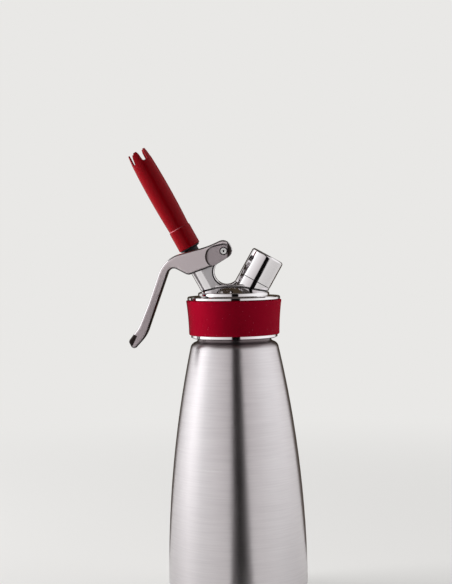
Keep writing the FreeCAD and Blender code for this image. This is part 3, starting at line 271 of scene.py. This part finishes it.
# Cast steel, tumbled on its flat cheeks and buffed along its outer edges: grey satin, bright rims
leverSteel = {
    "cheekColour": "#F2E7EA",
    "cheekFacing": (0.72, 0.97),     # facing is how squarely a face looks along an axis
    "cheekRoughness": 0.48,
    "rimColour": "#E2DFE1",
    "rimRoughness": 0.13,
    "sunkColour": "#BFB4B8",         # the sunk field round the pin and the arm are drawn darker
    "sunkFloor": 0.0107,
    "sunkFrom": -0.0245,
    "sunkShare": 0.85,
    "arm": (-0.044, -0.060),
    "paintedShadeColour": "#2E2726",        # painted shade and dark reflection on roundings, slopes and round the pin
    "turnedFacing": (0.15, 0.45),
    "endFrom": -0.013,
    "underFacing": (-0.20, -0.50),
    "underShare": 0.8,
    "edgeFacing": (0.98, 0.92),
    "faceFacing": 0.35,
    "faceShare": 0.45,
    "slope": (0.832, 0.03),
    "awayFacing": (-0.25, -0.45),
    "sunkShade": (-0.0176, -0.0199),
    "shadeShare": 0.8,
    "pivot": (-0.006882, 0, 0.253221),
    "pinRing": 0.0030,
    "tipAlong": (-0.44, 0, -0.90),   # beside the thumb's end the painted shade covers the outer half too
    "tipFrom": -0.1420,
    "tipAcross": (0.90, 0, -0.44),
    "tipEdge": -0.1484,
    "tipFacing": (0.2, 0.45),
    "endShade": (-0.0047, -0.0038),
    "endFacing": (0.55, 0.75),
    "grain": 0.0007,                 # tumbling marks are about 0.3 mm, drawn coarser to show
    "unevenness": (0.85, 1.15),
    "bump": 0.000015,
    "bumpStrength": 0.3,
}


def makeLeverSteel():
    v = leverSteel
    material, tree = newMaterial("tumbledCasting")
    texture = addNode(tree, "TexCoord")
    spot = texture.outputs["Object"]
    place = addNode(tree, "SeparateXYZ", links={"Vector": spot})
    facing = addNode(tree, "SeparateXYZ", links={"Vector": texture.outputs["Normal"]})
    flat = addNode(tree, "Math", {"operation": "ABSOLUTE"}, {0: facing.outputs["Y"]})
    start, end = v["cheekFacing"]
    cheek = addNode(tree, "MapRange",
                    {"From Min": start, "From Max": end, "interpolation_type": "SMOOTHSTEP"},
                    {"Value": flat.outputs[0]})

    # colour: bright rims round grey cheeks, darker in the sunk field and down the arm
    depth = addNode(tree, "Math", {"operation": "ABSOLUTE"}, {0: place.outputs["Y"]})
    deep = addNode(tree, "Math", {"operation": "LESS_THAN", 1: v["sunkFloor"]},
                   {0: depth.outputs[0]})
    near = addNode(tree, "Math", {"operation": "GREATER_THAN", 1: v["sunkFrom"]},
                   {0: place.outputs["X"]})
    sunk = addNode(tree, "Math", {"operation": "MULTIPLY"},
                   {0: deep.outputs[0], 1: near.outputs[0]})
    darkerSunk = addNode(tree, "Math", {"operation": "MULTIPLY", 1: v["sunkShare"]},
                     {0: sunk.outputs[0]})
    start, end = v["arm"]
    arm = addNode(tree, "MapRange", {"From Min": start, "From Max": end},
                  {"Value": place.outputs["X"]})
    darker = addNode(tree, "Math", {"operation": "MAXIMUM"},
                   {0: darkerSunk.outputs[0], 1: arm.outputs[0]})
    fields = {"data_type": "RGBA", 6: hexColour(v["cheekColour"]), 7: hexColour(v["sunkColour"])}
    field = addNode(tree, "Mix", fields, {0: darker.outputs[0]})
    tint = addNode(tree, "Mix", {"data_type": "RGBA", 6: hexColour(v["rimColour"])},
                   {0: cheek.outputs[0], 7: field.outputs[2]})

    # painted shade: dark on roundings that look back at the bottle or down, up to the pin's end
    start, end = v["turnedFacing"]
    turned = addNode(tree, "MapRange",
                     {"From Min": start, "From Max": end, "interpolation_type": "SMOOTHSTEP"},
                     {"Value": facing.outputs["X"]})
    pinEnd = addNode(tree, "Math", {"operation": "GREATER_THAN", 1: v["endFrom"]},
                     {0: place.outputs["X"]})
    inward = addNode(tree, "Math", {"operation": "SUBTRACT", "use_clamp": True},
                     {0: turned.outputs[0], 1: pinEnd.outputs[0]})
    start, end = v["underFacing"]
    under = addNode(tree, "MapRange",
                    {"From Min": start, "From Max": end, "To Max": v["underShare"]},
                    {"Value": facing.outputs["Z"]})
    paintedShade = addNode(tree, "Math", {"operation": "MAXIMUM"},
                   {0: inward.outputs[0], 1: under.outputs[0]})
    start, end = v["edgeFacing"]
    edge = addNode(tree, "MapRange", {"From Min": start, "From Max": end},
                   {"Value": flat.outputs[0]})
    face = addNode(tree, "MapRange", {"From Max": v["faceFacing"], "To Min": v["faceShare"]},
                   {"Value": flat.outputs[0]})
    for mask in (edge, face):
        paintedShade = addNode(tree, "Math", {"operation": "MULTIPLY"},
                       {0: paintedShade.outputs[0], 1: mask.outputs[0]})

    # painted shade also on the narrow slope round the sunk field, at both its ends
    level, reach = v["slope"]
    slope = addNode(tree, "Math", {"operation": "COMPARE", 1: level, 2: reach},
                    {0: flat.outputs[0]})
    start, end = v["awayFacing"]
    away = addNode(tree, "MapRange", {"From Min": start, "From Max": end},
                   {"Value": facing.outputs["X"]})
    ends = addNode(tree, "Math", {"operation": "MAXIMUM"},
                   {0: turned.outputs[0], 1: away.outputs[0]})
    slope = addNode(tree, "Math", {"operation": "MULTIPLY"},
                    {0: slope.outputs[0], 1: ends.outputs[0]})

    # in the sunk field's end towards the arm
    start, end = v["sunkShade"]
    shade = addNode(tree, "MapRange",
                    {"From Min": start, "From Max": end, "To Max": v["shadeShare"]},
                    {"Value": place.outputs["X"]})
    shade = addNode(tree, "Math", {"operation": "MULTIPLY"},
                    {0: shade.outputs[0], 1: sunk.outputs[0]})

    # in a ring round the pin
    spoke = sideDistance(tree, spot, v["pivot"])
    ring = addNode(tree, "Math", {"operation": "LESS_THAN", 1: v["pinRing"]},
                   {0: spoke.outputs["Value"]})

    # beside the thumb's end
    along = addNode(tree, "VectorMath", {"operation": "DOT_PRODUCT", 1: v["tipAlong"]}, {0: spot})
    tip = addNode(tree, "Math", {"operation": "GREATER_THAN", 1: v["tipFrom"]},
                  {0: along.outputs["Value"]})
    across = addNode(tree, "VectorMath", {"operation": "DOT_PRODUCT", 1: v["tipAcross"]},
                     {0: spot})
    outer = addNode(tree, "Math", {"operation": "LESS_THAN", 1: v["tipEdge"]},
                    {0: across.outputs["Value"]})
    start, end = v["tipFacing"]
    beside = addNode(tree, "MapRange", {"From Min": start, "From Max": end},
                     {"Value": flat.outputs[0]})
    for mask in (outer, beside):
        tip = addNode(tree, "Math", {"operation": "MULTIPLY"},
                      {0: tip.outputs[0], 1: mask.outputs[0]})

    # and in a crescent at the pin's end
    start, end = v["endShade"]
    crescent = addNode(tree, "MapRange", {"From Min": start, "From Max": end},
                       {"Value": place.outputs["X"]})
    start, end = v["endFacing"]
    steep = addNode(tree, "MapRange", {"From Min": start, "From Max": end},
                    {"Value": flat.outputs[0]})
    crescent = addNode(tree, "Math", {"operation": "MULTIPLY"},
                       {0: crescent.outputs[0], 1: steep.outputs[0]})

    for mask in (slope, ring, shade, tip, crescent):
        paintedShade = addNode(tree, "Math", {"operation": "MAXIMUM"},
                       {0: paintedShade.outputs[0], 1: mask.outputs[0]})
    # the painted shade and dark reflection go into the colour
    tone = addNode(tree, "Mix", {"data_type": "RGBA", 7: hexColour(v["paintedShadeColour"])},
                   {0: paintedShade.outputs[0], 6: tint.outputs[2]})

    # finish: smooth rims, satin cheeks, all a little uneven from the tumbling
    grain = addNode(tree, "TexNoise", {"Scale": 1 / v["grain"], "Detail": 3.0}, {"Vector": spot})
    soft = addNode(tree, "MapRange", {"To Min": v["rimRoughness"], "To Max": v["cheekRoughness"]},
                   {"Value": cheek.outputs[0]})
    least, most = v["unevenness"]
    uneven = addNode(tree, "MapRange", {"To Min": least, "To Max": most},
                     {"Value": grain.outputs["Fac"]})
    rough = addNode(tree, "Math", {"operation": "MULTIPLY"},
                    {0: soft.outputs[0], 1: uneven.outputs[0]})
    bump = addNode(tree, "Bump", {"Strength": v["bumpStrength"], "Distance": v["bump"]},
                   {"Height": grain.outputs["Fac"]})
    shader = addNode(tree, "BsdfPrincipled", {"Metallic": 1.0},
                     {"Base Color": tone.outputs[2], "Roughness": rough.outputs[0],
                      "Normal": bump.outputs[0]})
    finishMaterial(tree, shader)
    return material


# Silicone rubber, moulded in a fine matt tool: soft wide sheen and a few specks of dust
bandSilicone = {
    "colour": "#9C0022",
    "shadeColour": "#8A001C",
    "patchSize": 0.025,
    "dustColour": "#C05A70",
    "dustSpacing": 0.0032,
    "dustEdge": (0.05, 0.12),        # where a speck fades out, in parts of that spacing
    "dustShare": 0.55,
    "roughness": (0.50, 0.64),
    "ior": 1.41,
    "shine": 0.04,
    "grain": 0.0012,                 # the tool's own grain is finer, drawn coarser to show
    "bump": 0.00005,
    "bumpStrength": 0.5,
}


def makeBandSilicone():
    v = bandSilicone
    material, tree = newMaterial("redSilicone")
    place = addNode(tree, "TexCoord").outputs["Object"]
    grain = addNode(tree, "TexNoise", {"Scale": 1 / v["grain"], "Detail": 4.0}, {"Vector": place})
    slow = addNode(tree, "TexNoise", {"Scale": 1 / v["patchSize"], "Detail": 2.0},
                   {"Vector": place})
    dust = addNode(tree, "TexVoronoi", {"Scale": 1 / v["dustSpacing"]}, {"Vector": place})
    start, end = v["dustEdge"]
    speck = addNode(tree, "MapRange",
                    {"From Min": start, "From Max": end, "To Min": v["dustShare"], "To Max": 0.0},
                    {"Value": dust.outputs["Distance"]})
    shades = {"data_type": "RGBA", 6: hexColour(v["colour"]), 7: hexColour(v["shadeColour"])}
    tint = addNode(tree, "Mix", shades, {0: slow.outputs["Fac"]})
    dusty = addNode(tree, "Mix", {"data_type": "RGBA", 7: hexColour(v["dustColour"])},
                    {0: speck.outputs[0], 6: tint.outputs[2]})
    low, high = v["roughness"]
    rough = addNode(tree, "MapRange", {"To Min": low, "To Max": high},
                    {"Value": grain.outputs["Fac"]})
    bump = addNode(tree, "Bump", {"Strength": v["bumpStrength"], "Distance": v["bump"]},
                   {"Height": grain.outputs["Fac"]})
    shader = addNode(tree, "BsdfPrincipled", {"IOR": v["ior"], "Specular IOR Level": v["shine"]},
                     {"Base Color": dusty.outputs[2], "Roughness": rough.outputs[0],
                      "Normal": bump.outputs[0]})
    finishMaterial(tree, shader)
    return material


# Polypropylene, injection moulded in a smooth tool: dark red, slow flow marks, a soft satin shine
nozzlePlastic = {
    "colour": "#92000F",
    "deepColour": "#7E000D",
    "flow": 0.03,
    "roughness": (0.18, 0.23),
    "ior": 1.49,
    "shine": 0.08,
    "bump": 0.00002,
    "bumpStrength": 0.2,
    "stepHighlightColour": "#C0707A",         # painted highlight along the collar's moulded edge, on its lit side
    "stepAxis": (-0.47409, 0, 0.88048),
    "stepLine": (0.25667, 0.00028),
    "stepFacing": (0.3, -0.5),
}


def makeNozzlePlastic():
    v = nozzlePlastic
    material, tree = newMaterial("darkRedPolypropylene")
    texture = addNode(tree, "TexCoord")
    place = texture.outputs["Object"]
    flow = addNode(tree, "TexNoise", {"Scale": 1 / v["flow"], "Detail": 3.0}, {"Vector": place})
    shades = {"data_type": "RGBA", 6: hexColour(v["colour"]), 7: hexColour(v["deepColour"])}
    tint = addNode(tree, "Mix", shades, {0: flow.outputs["Fac"]})
    # painted highlight: a pale line on the collar's edge, on its lit side
    along = addNode(tree, "VectorMath", {"operation": "DOT_PRODUCT", 1: v["stepAxis"]}, {0: place})
    level, reach = v["stepLine"]
    step = addNode(tree, "Math", {"operation": "COMPARE", 1: level, 2: reach},
                   {0: along.outputs["Value"]})
    facing = addNode(tree, "SeparateXYZ", links={"Vector": texture.outputs["Normal"]})
    start, end = v["stepFacing"]
    litSide = addNode(tree, "MapRange", {"From Min": start, "From Max": end},
                        {"Value": facing.outputs["X"]})
    stepHighlight = addNode(tree, "Math", {"operation": "MULTIPLY"},
                    {0: step.outputs[0], 1: litSide.outputs[0]})
    highlighted = addNode(tree, "Mix", {"data_type": "RGBA", 7: hexColour(v["stepHighlightColour"])},
                   {0: stepHighlight.outputs[0], 6: tint.outputs[2]})
    low, high = v["roughness"]
    rough = addNode(tree, "MapRange", {"To Min": low, "To Max": high},
                    {"Value": flow.outputs["Fac"]})
    bump = addNode(tree, "Bump", {"Strength": v["bumpStrength"], "Distance": v["bump"]},
                   {"Height": flow.outputs["Fac"]})
    shader = addNode(tree, "BsdfPrincipled", {"IOR": v["ior"], "Specular IOR Level": v["shine"]},
                     {"Base Color": highlighted.outputs[2], "Roughness": rough.outputs[0],
                      "Normal": bump.outputs[0]})
    finishMaterial(tree, shader)
    return material


# The small pieces: each finish has two shades, two roughness limits, a grain size and the values
# of its own material, by the shader's names
smallFinishes = {
    "blackNylon": {       # moulded: near black with a low sheen
        "shades": ("#17171A", "#232327"), "roughness": (0.32, 0.44), "grain": 0.0012,
        "settings": {"IOR": 1.53, "Specular IOR Level": 0.2}, "on": ["nozzle_adapter"],
    },
    "nitrileRubber": {    # moulded: a dull black without highlights
        "shades": ("#161617", "#242426"), "roughness": (0.5, 0.65), "grain": 0.0008,
        "settings": {"IOR": 1.5},
        "on": ["bush_o_ring", "stem_o_rings", "piston_seal", "adapter_o_ring", "inlet_o_ring",
               "charger_seal", "check_valve_disc"],
    },
    "whiteAcetal": {      # turned from bar: warm white, waxy
        "shades": ("#E9E7E0", "#DEDBD2"), "roughness": (0.35, 0.45), "grain": 0.002,
        "settings": {"IOR": 1.48}, "on": ["valve_bush"],
    },
    "clearSilicone": {    # moulded: milky and matt
        "shades": ("#D9DCDC", "#C7CBCC"), "roughness": (0.4, 0.5), "grain": 0.002,
        "settings": {"IOR": 1.41}, "on": ["head_gasket"],
    },
    "turnedSteel": {      # turned stainless: bright, with a fine soft edge to its highlights
        "shades": ("#D5D2D1", "#C2BEBD"), "roughness": (0.12, 0.24), "grain": 0.0007,
        "settings": {"Metallic": 1.0},
        "on": ["piston_stem", "spring_collar", "piercing_pin", "check_valve_retainer"],
    },
    "burnishedSteel": {   # burnished sheet: pale, glowing rather than mirroring
        "shades": ("#F4F2F2", "#E4E1E1"), "roughness": (0.28, 0.36), "grain": 0.0007,
        "settings": {"Metallic": 1.0}, "on": ["pin_clip"],
    },
    "springWire": {       # drawn wire: greyer, with a broken shine
        "shades": ("#B9B6B4", "#9C9997"), "roughness": (0.22, 0.34), "grain": 0.0006,
        "settings": {"Metallic": 1.0}, "on": ["return_spring"],
    },
}
smallBump = {"Strength": 0.3, "Distance": 0.00003}


def makeSmallFinish(name):
    v = smallFinishes[name]
    material, tree = newMaterial(name)
    place = addNode(tree, "TexCoord").outputs["Object"]
    grain = addNode(tree, "TexNoise", {"Scale": 1 / v["grain"], "Detail": 3.0}, {"Vector": place})
    colour, other = v["shades"]
    shades = {"data_type": "RGBA", 6: hexColour(colour), 7: hexColour(other)}
    tint = addNode(tree, "Mix", shades, {0: grain.outputs["Fac"]})
    low, high = v["roughness"]
    rough = addNode(tree, "MapRange", {"To Min": low, "To Max": high},
                    {"Value": grain.outputs["Fac"]})
    bump = addNode(tree, "Bump", smallBump, {"Height": grain.outputs["Fac"]})
    shader = addNode(tree, "BsdfPrincipled", v["settings"],
                     {"Base Color": tint.outputs[2], "Roughness": rough.outputs[0],
                      "Normal": bump.outputs[0]})
    finishMaterial(tree, shader)
    return material


# Turned steel pin with a drilled centre, its light painted on: a painted highlight round a dimple
# in painted shade, a rim in painted shade
pinSteel = {
    # the radius where each painted ring starts, and its colour
    "rings": [(0.0, "#1E1A1A"), (0.0006, "#FFFFFF"), (0.0022, "#3A3434")],
    "radius": 0.0026,
    "roughness": (0.46, 0.56),
    "grain": 0.0005,
    "bump": 0.00001,
    "bumpStrength": 0.3,
}


def makePinSteel():
    v = pinSteel
    material, tree = newMaterial("turnedPin")
    place = addNode(tree, "TexCoord").outputs["Object"]
    spoke = sideDistance(tree, place, leverSteel["pivot"])
    share = addNode(tree, "MapRange", {"From Max": v["radius"]}, {"Value": spoke.outputs["Value"]})
    ramp = addNode(tree, "ValToRGB", links={"Fac": share.outputs[0]})
    ramp.color_ramp.interpolation = "CONSTANT"
    setStops(ramp, [(radius / v["radius"], hexColour(tint)) for radius, tint in v["rings"]])
    grain = addNode(tree, "TexNoise", {"Scale": 1 / v["grain"], "Detail": 2.0}, {"Vector": place})
    low, high = v["roughness"]
    rough = addNode(tree, "MapRange", {"To Min": low, "To Max": high},
                    {"Value": grain.outputs["Fac"]})
    bump = addNode(tree, "Bump", {"Strength": v["bumpStrength"], "Distance": v["bump"]},
                   {"Height": grain.outputs["Fac"]})
    shader = addNode(tree, "BsdfPrincipled", {"Metallic": 1.0},
                     {"Base Color": ramp.outputs["Color"], "Roughness": rough.outputs[0],
                      "Normal": bump.outputs[0]})
    finishMaterial(tree, shader)
    return material


coverNodes(makeBottleSteel(), "bottle")
coverNodes(makeHeadSteel(), "head_casting", "charger_cap", "inlet_valve_body")
coverNodes(makeLeverSteel(), "lever")
coverNodes(makePinSteel(), "lever_pin")
coverNodes(makeBandSilicone(), "grip_band")
coverNodes(makeNozzlePlastic(), "nozzle")
for finishName, finishValues in smallFinishes.items():
    coverNodes(makeSmallFinish(finishName), *finishValues["on"])
print("materials are on", len(nodes), "nodes")

# the return spring, wound here
returnSpring = {
    "foot": (-0.01205, 0, 0.220),    # where the valve's axis meets the flange's plane
    "lean": -28.3,
    "seat": 0.01897,
    "height": 0.01286,
    "radius": 0.00525,
    "wire": 0.0009,
    "turns": 5,
    "stepsPerTurn": 32,
    "wireSides": 12,
    "travel": 0.0031,
}


def makeReturnSpring():
    v = returnSpring
    coil = bmesh.new()
    ring = bmesh.ops.create_circle(coil, cap_ends=False, segments=v["wireSides"],
                                   radius=v["wire"] / 2)
    upright = Matrix.Rotation(math.radians(90), 4, "X")
    start = Matrix.Translation((v["radius"], 0, v["seat"])) @ upright
    bmesh.ops.transform(coil, matrix=start, verts=ring["verts"])
    steps = v["turns"] * v["stepsPerTurn"]
    bmesh.ops.spin(coil, geom=coil.edges[:], cent=(0, 0, 0), axis=(0, 0, 1), steps=steps,
                   dvec=(0, 0, v["height"] / steps), angle=math.tau * v["turns"])
    ends = [edge for edge in coil.edges if edge.is_boundary]
    bmesh.ops.holes_fill(coil, edges=ends, sides=0)
    bmesh.ops.recalc_face_normals(coil, faces=coil.faces[:])
    leaning = Matrix.Translation(v["foot"]) @ Matrix.Rotation(math.radians(v["lean"]), 4, "Y")
    bmesh.ops.transform(coil, matrix=leaning, verts=coil.verts[:])
    for face in coil.faces:
        face.smooth = len(face.verts) == 4    # the cut ends of the wire stay flat
    mesh = bpy.data.meshes.new("returnSpring")
    coil.to_mesh(mesh)
    coil.free()
    mesh.materials.append(bpy.data.materials["springWire"])
    piece = bpy.data.objects.new("returnSpring", mesh)
    scene.collection.objects.link(piece)
    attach(piece, "head")
    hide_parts("return_spring")
    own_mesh(piece)
    print("return spring has", len(mesh.polygons), "faces")


makeReturnSpring()

# the room; azimuth 0 is the camera's side and positive azimuths lie to its right
studio = {
    "pale": "#E9E8E6",
    "floorRadius": 5.0,
    "floorSides": 96,
    "fade": (0.25, 1.0),             # over these distances the floor's shading gives way to plain
    "nearShare": 0.55,
    "worldStrength": 0.08,
}


def onCircle(azimuth, distance, height):
    angle = math.radians(azimuth)
    return Vector((distance * math.sin(angle), -distance * math.cos(angle), height))


def addToRoom(name, form, material):
    mesh = bpy.data.meshes.new(name)
    form.to_mesh(mesh)
    form.free()
    mesh.materials.append(material)
    piece = bpy.data.objects.new(name, mesh)
    scene.collection.objects.link(piece)
    return piece


def hideFromLight(piece):
    # leaves it to reflections alone
    piece.visible_camera = False
    piece.visible_diffuse = False
    piece.visible_shadow = False


def seenRays(tree):
    # 1 for rays that show the room itself: straight, off a shiny piece or through a clear one
    ray = addNode(tree, "LightPath")
    seen = addNode(tree, "Math", {"operation": "MAXIMUM"},
                   {0: ray.outputs["Is Camera Ray"], 1: ray.outputs["Is Glossy Ray"]})
    return addNode(tree, "Math", {"operation": "MAXIMUM"},
                   {0: seen.outputs[0], 1: ray.outputs["Is Transmission Ray"]})


def makeFloor():
    material, tree = newMaterial("paleFloor")
    place = addNode(tree, "TexCoord").outputs["Object"]
    reach = addNode(tree, "VectorMath", {"operation": "LENGTH"}, {0: place})
    start, end = studio["fade"]
    fade = addNode(tree, "MapRange",
                   {"From Min": start, "From Max": end, "To Min": studio["nearShare"],
                    "interpolation_type": "SMOOTHSTEP"},
                   {"Value": reach.outputs["Value"]})
    pale = hexColour(studio["pale"])
    paint = addNode(tree, "BsdfDiffuse", {"Color": pale})
    far = addNode(tree, "Emission", {"Color": pale, "Strength": 1.0})
    seen = seenRays(tree)
    share = addNode(tree, "Math", {"operation": "MULTIPLY"},
                    {0: fade.outputs[0], 1: seen.outputs[0]})
    both = addNode(tree, "MixShader",
                   links={0: share.outputs[0], 1: paint.outputs[0], 2: far.outputs[0]})
    finishMaterial(tree, both)
    disc = bmesh.new()
    bmesh.ops.create_circle(disc, cap_ends=True, segments=studio["floorSides"],
                            radius=studio["floorRadius"])
    addToRoom("floor", disc, material)


def makeWorld():
    world = bpy.data.worlds.new("paleStudio")
    world.use_nodes = True
    tree = world.node_tree
    tree.nodes.clear()
    pale = hexColour(studio["pale"])
    shown = addNode(tree, "Background", {"Color": pale, "Strength": 1.0})
    light = addNode(tree, "Background", {"Color": pale, "Strength": studio["worldStrength"]})
    seen = seenRays(tree)
    both = addNode(tree, "MixShader",
                   links={0: seen.outputs[0], 1: light.outputs[0], 2: shown.outputs[0]})
    addNode(tree, "OutputWorld", links={"Surface": both.outputs[0]})
    scene.world = world


lamps = {
    "keyLeft": {"azimuth": -93, "distance": 1.5, "height": 0.60, "size": (0.9, 1.2), "watts": 38},
    "fillRight": {"azimuth": 82, "distance": 1.5, "height": 0.55, "size": (0.9, 1.2), "watts": 10},
    "topSoft": {"azimuth": 160, "distance": 0.35, "height": 1.6, "size": (0.9, 0.9), "watts": 7},
}
aim = Vector((0, 0, 0.22))


def makeLamps():
    for name, v in lamps.items():
        lamp = bpy.data.lights.new(name, "AREA")
        lamp.shape = "RECTANGLE"
        lamp.size, lamp.size_y = v["size"]
        lamp.energy = v["watts"]
        holder = bpy.data.objects.new(name, lamp)
        holder.location = onCircle(v["azimuth"], v["distance"], v["height"])
        holder.rotation_euler = (aim - holder.location).to_track_quat("-Z", "Y").to_euler()
        holder.visible_glossy = False    # steel mirrors the tent instead
        scene.collection.objects.link(holder)


# the tent that the steel mirrors: each stop is an azimuth, a tint and how bright it looks
tent = {
    "radius": 1.6,
    "foot": -0.02,
    "top": 1.9,
    "sides": 180,
    "brightest": 2.5,
    "stops": [
        (-180, "#6B5D4C", 0.30), (-152, "#6B5D4C", 0.40), (-138, "#FFFDFC", 0.85),
        (-115, "#FFFFFF", 1.5), (-92, "#FFFFFF", 2.0), (-65, "#FFFFFF", 1.12),
        (-38, "#FFFCFC", 0.91), (-8, "#FFFAFA", 0.64), (-6, "#0C0A0A", 1.0),
        (14, "#0C0A0A", 1.0), (16, "#FFFAFA", 0.70), (38, "#FFFCFC", 0.86),
        (70, "#FFFFFF", 1.1), (100, "#FFFFFF", 1.15), (134, "#FFFDFC", 0.9),
        (147, "#6B5D4C", 0.40),
    ],
}


def makeTent():
    material, tree = newMaterial("lightTent")
    texture = addNode(tree, "TexCoord")
    place = addNode(tree, "SeparateXYZ", links={"Vector": texture.outputs["Object"]})
    towards = addNode(tree, "Math", {"operation": "MULTIPLY", 1: -1.0}, {0: place.outputs["Y"]})
    azimuth = addNode(tree, "Math", {"operation": "ARCTAN2"},
                      {0: place.outputs["X"], 1: towards.outputs[0]})
    turn = addNode(tree, "MapRange", {"From Min": -math.pi, "From Max": math.pi},
                   {"Value": azimuth.outputs[0]})
    ramp = addNode(tree, "ValToRGB", links={"Fac": turn.outputs[0]})
    stops = []
    for degrees, tint, level in tent["stops"]:
        shown = [part * level / tent["brightest"] for part in hexColour(tint)[:3]]
        stops.append(((degrees + 180) / 360, (*shown, 1.0)))
    setStops(ramp, stops)
    glow = addNode(tree, "Emission", {"Strength": tent["brightest"]},
                   {"Color": ramp.outputs["Color"]})
    finishMaterial(tree, glow)
    cloth = bmesh.new()
    rim = bmesh.ops.create_circle(cloth, cap_ends=False, segments=tent["sides"],
                                  radius=tent["radius"])
    bmesh.ops.translate(cloth, vec=(0, 0, tent["foot"]), verts=rim["verts"])
    wall = bmesh.ops.extrude_edge_only(cloth, edges=cloth.edges[:])
    top = [item for item in wall["geom"] if isinstance(item, bmesh.types.BMVert)]
    bmesh.ops.translate(cloth, vec=(0, 0, tent["top"] - tent["foot"]), verts=top)
    hideFromLight(addToRoom("lightTent", cloth, material))


# what steel mirrors below and above the tent's wall, each between two azimuths
flags = {
    "slitFelt": {"from": -10, "to": 18, "near": 0.07, "height": 0.001, "tint": "#0C0A0A"},
    "backFloor": {"from": 138, "to": 215, "near": 0.16, "height": 0.001, "tint": "#4A4036"},
    "roof": {"from": 0, "to": 360, "near": 0.01, "height": 1.9, "tint": "#544F4C"},
}
flagStep = 10   # degrees


def makeFlag(name):
    v = flags[name]
    material, tree = newMaterial(name)
    glow = addNode(tree, "Emission", {"Color": hexColour(v["tint"]), "Strength": 1.0})
    finishMaterial(tree, glow)
    cloth = bmesh.new()
    ends = [cloth.verts.new(onCircle(v["from"], reach, v["height"]))
            for reach in (v["near"], tent["radius"])]
    rod = cloth.edges.new(ends)
    width = v["to"] - v["from"]
    bmesh.ops.spin(cloth, geom=[rod, *ends], cent=(0, 0, 0), axis=(0, 0, 1),
                   angle=math.radians(width), steps=math.ceil(width / flagStep),
                   use_merge=width == 360)
    hideFromLight(addToRoom(name, cloth, material))


camera = {
    "place": (-0.0050, -0.955, 0.2576),
    "lens": 80.1,
    "sensor": 36,
    "shiftUp": -0.0806,
    "roll": -1.0,
}


def makeCamera():
    data = bpy.data.cameras.new("camera")
    data.sensor_width = camera["sensor"]
    data.sensor_fit = "AUTO"
    data.lens = camera["lens"]
    data.shift_y = camera["shiftUp"]
    holder = bpy.data.objects.new("camera", data)
    holder.location = camera["place"]
    level = Euler((math.radians(90), 0, 0)).to_matrix()
    rolled = level @ Matrix.Rotation(math.radians(camera["roll"]), 3, "Z")
    holder.rotation_euler = rolled.to_euler()
    scene.collection.objects.link(holder)
    scene.camera = holder


makeFloor()
makeWorld()
makeLamps()
makeTent()
for flagName in flags:
    makeFlag(flagName)
makeCamera()
scene.view_settings.view_transform = "Standard"
print("studio and camera are ready")
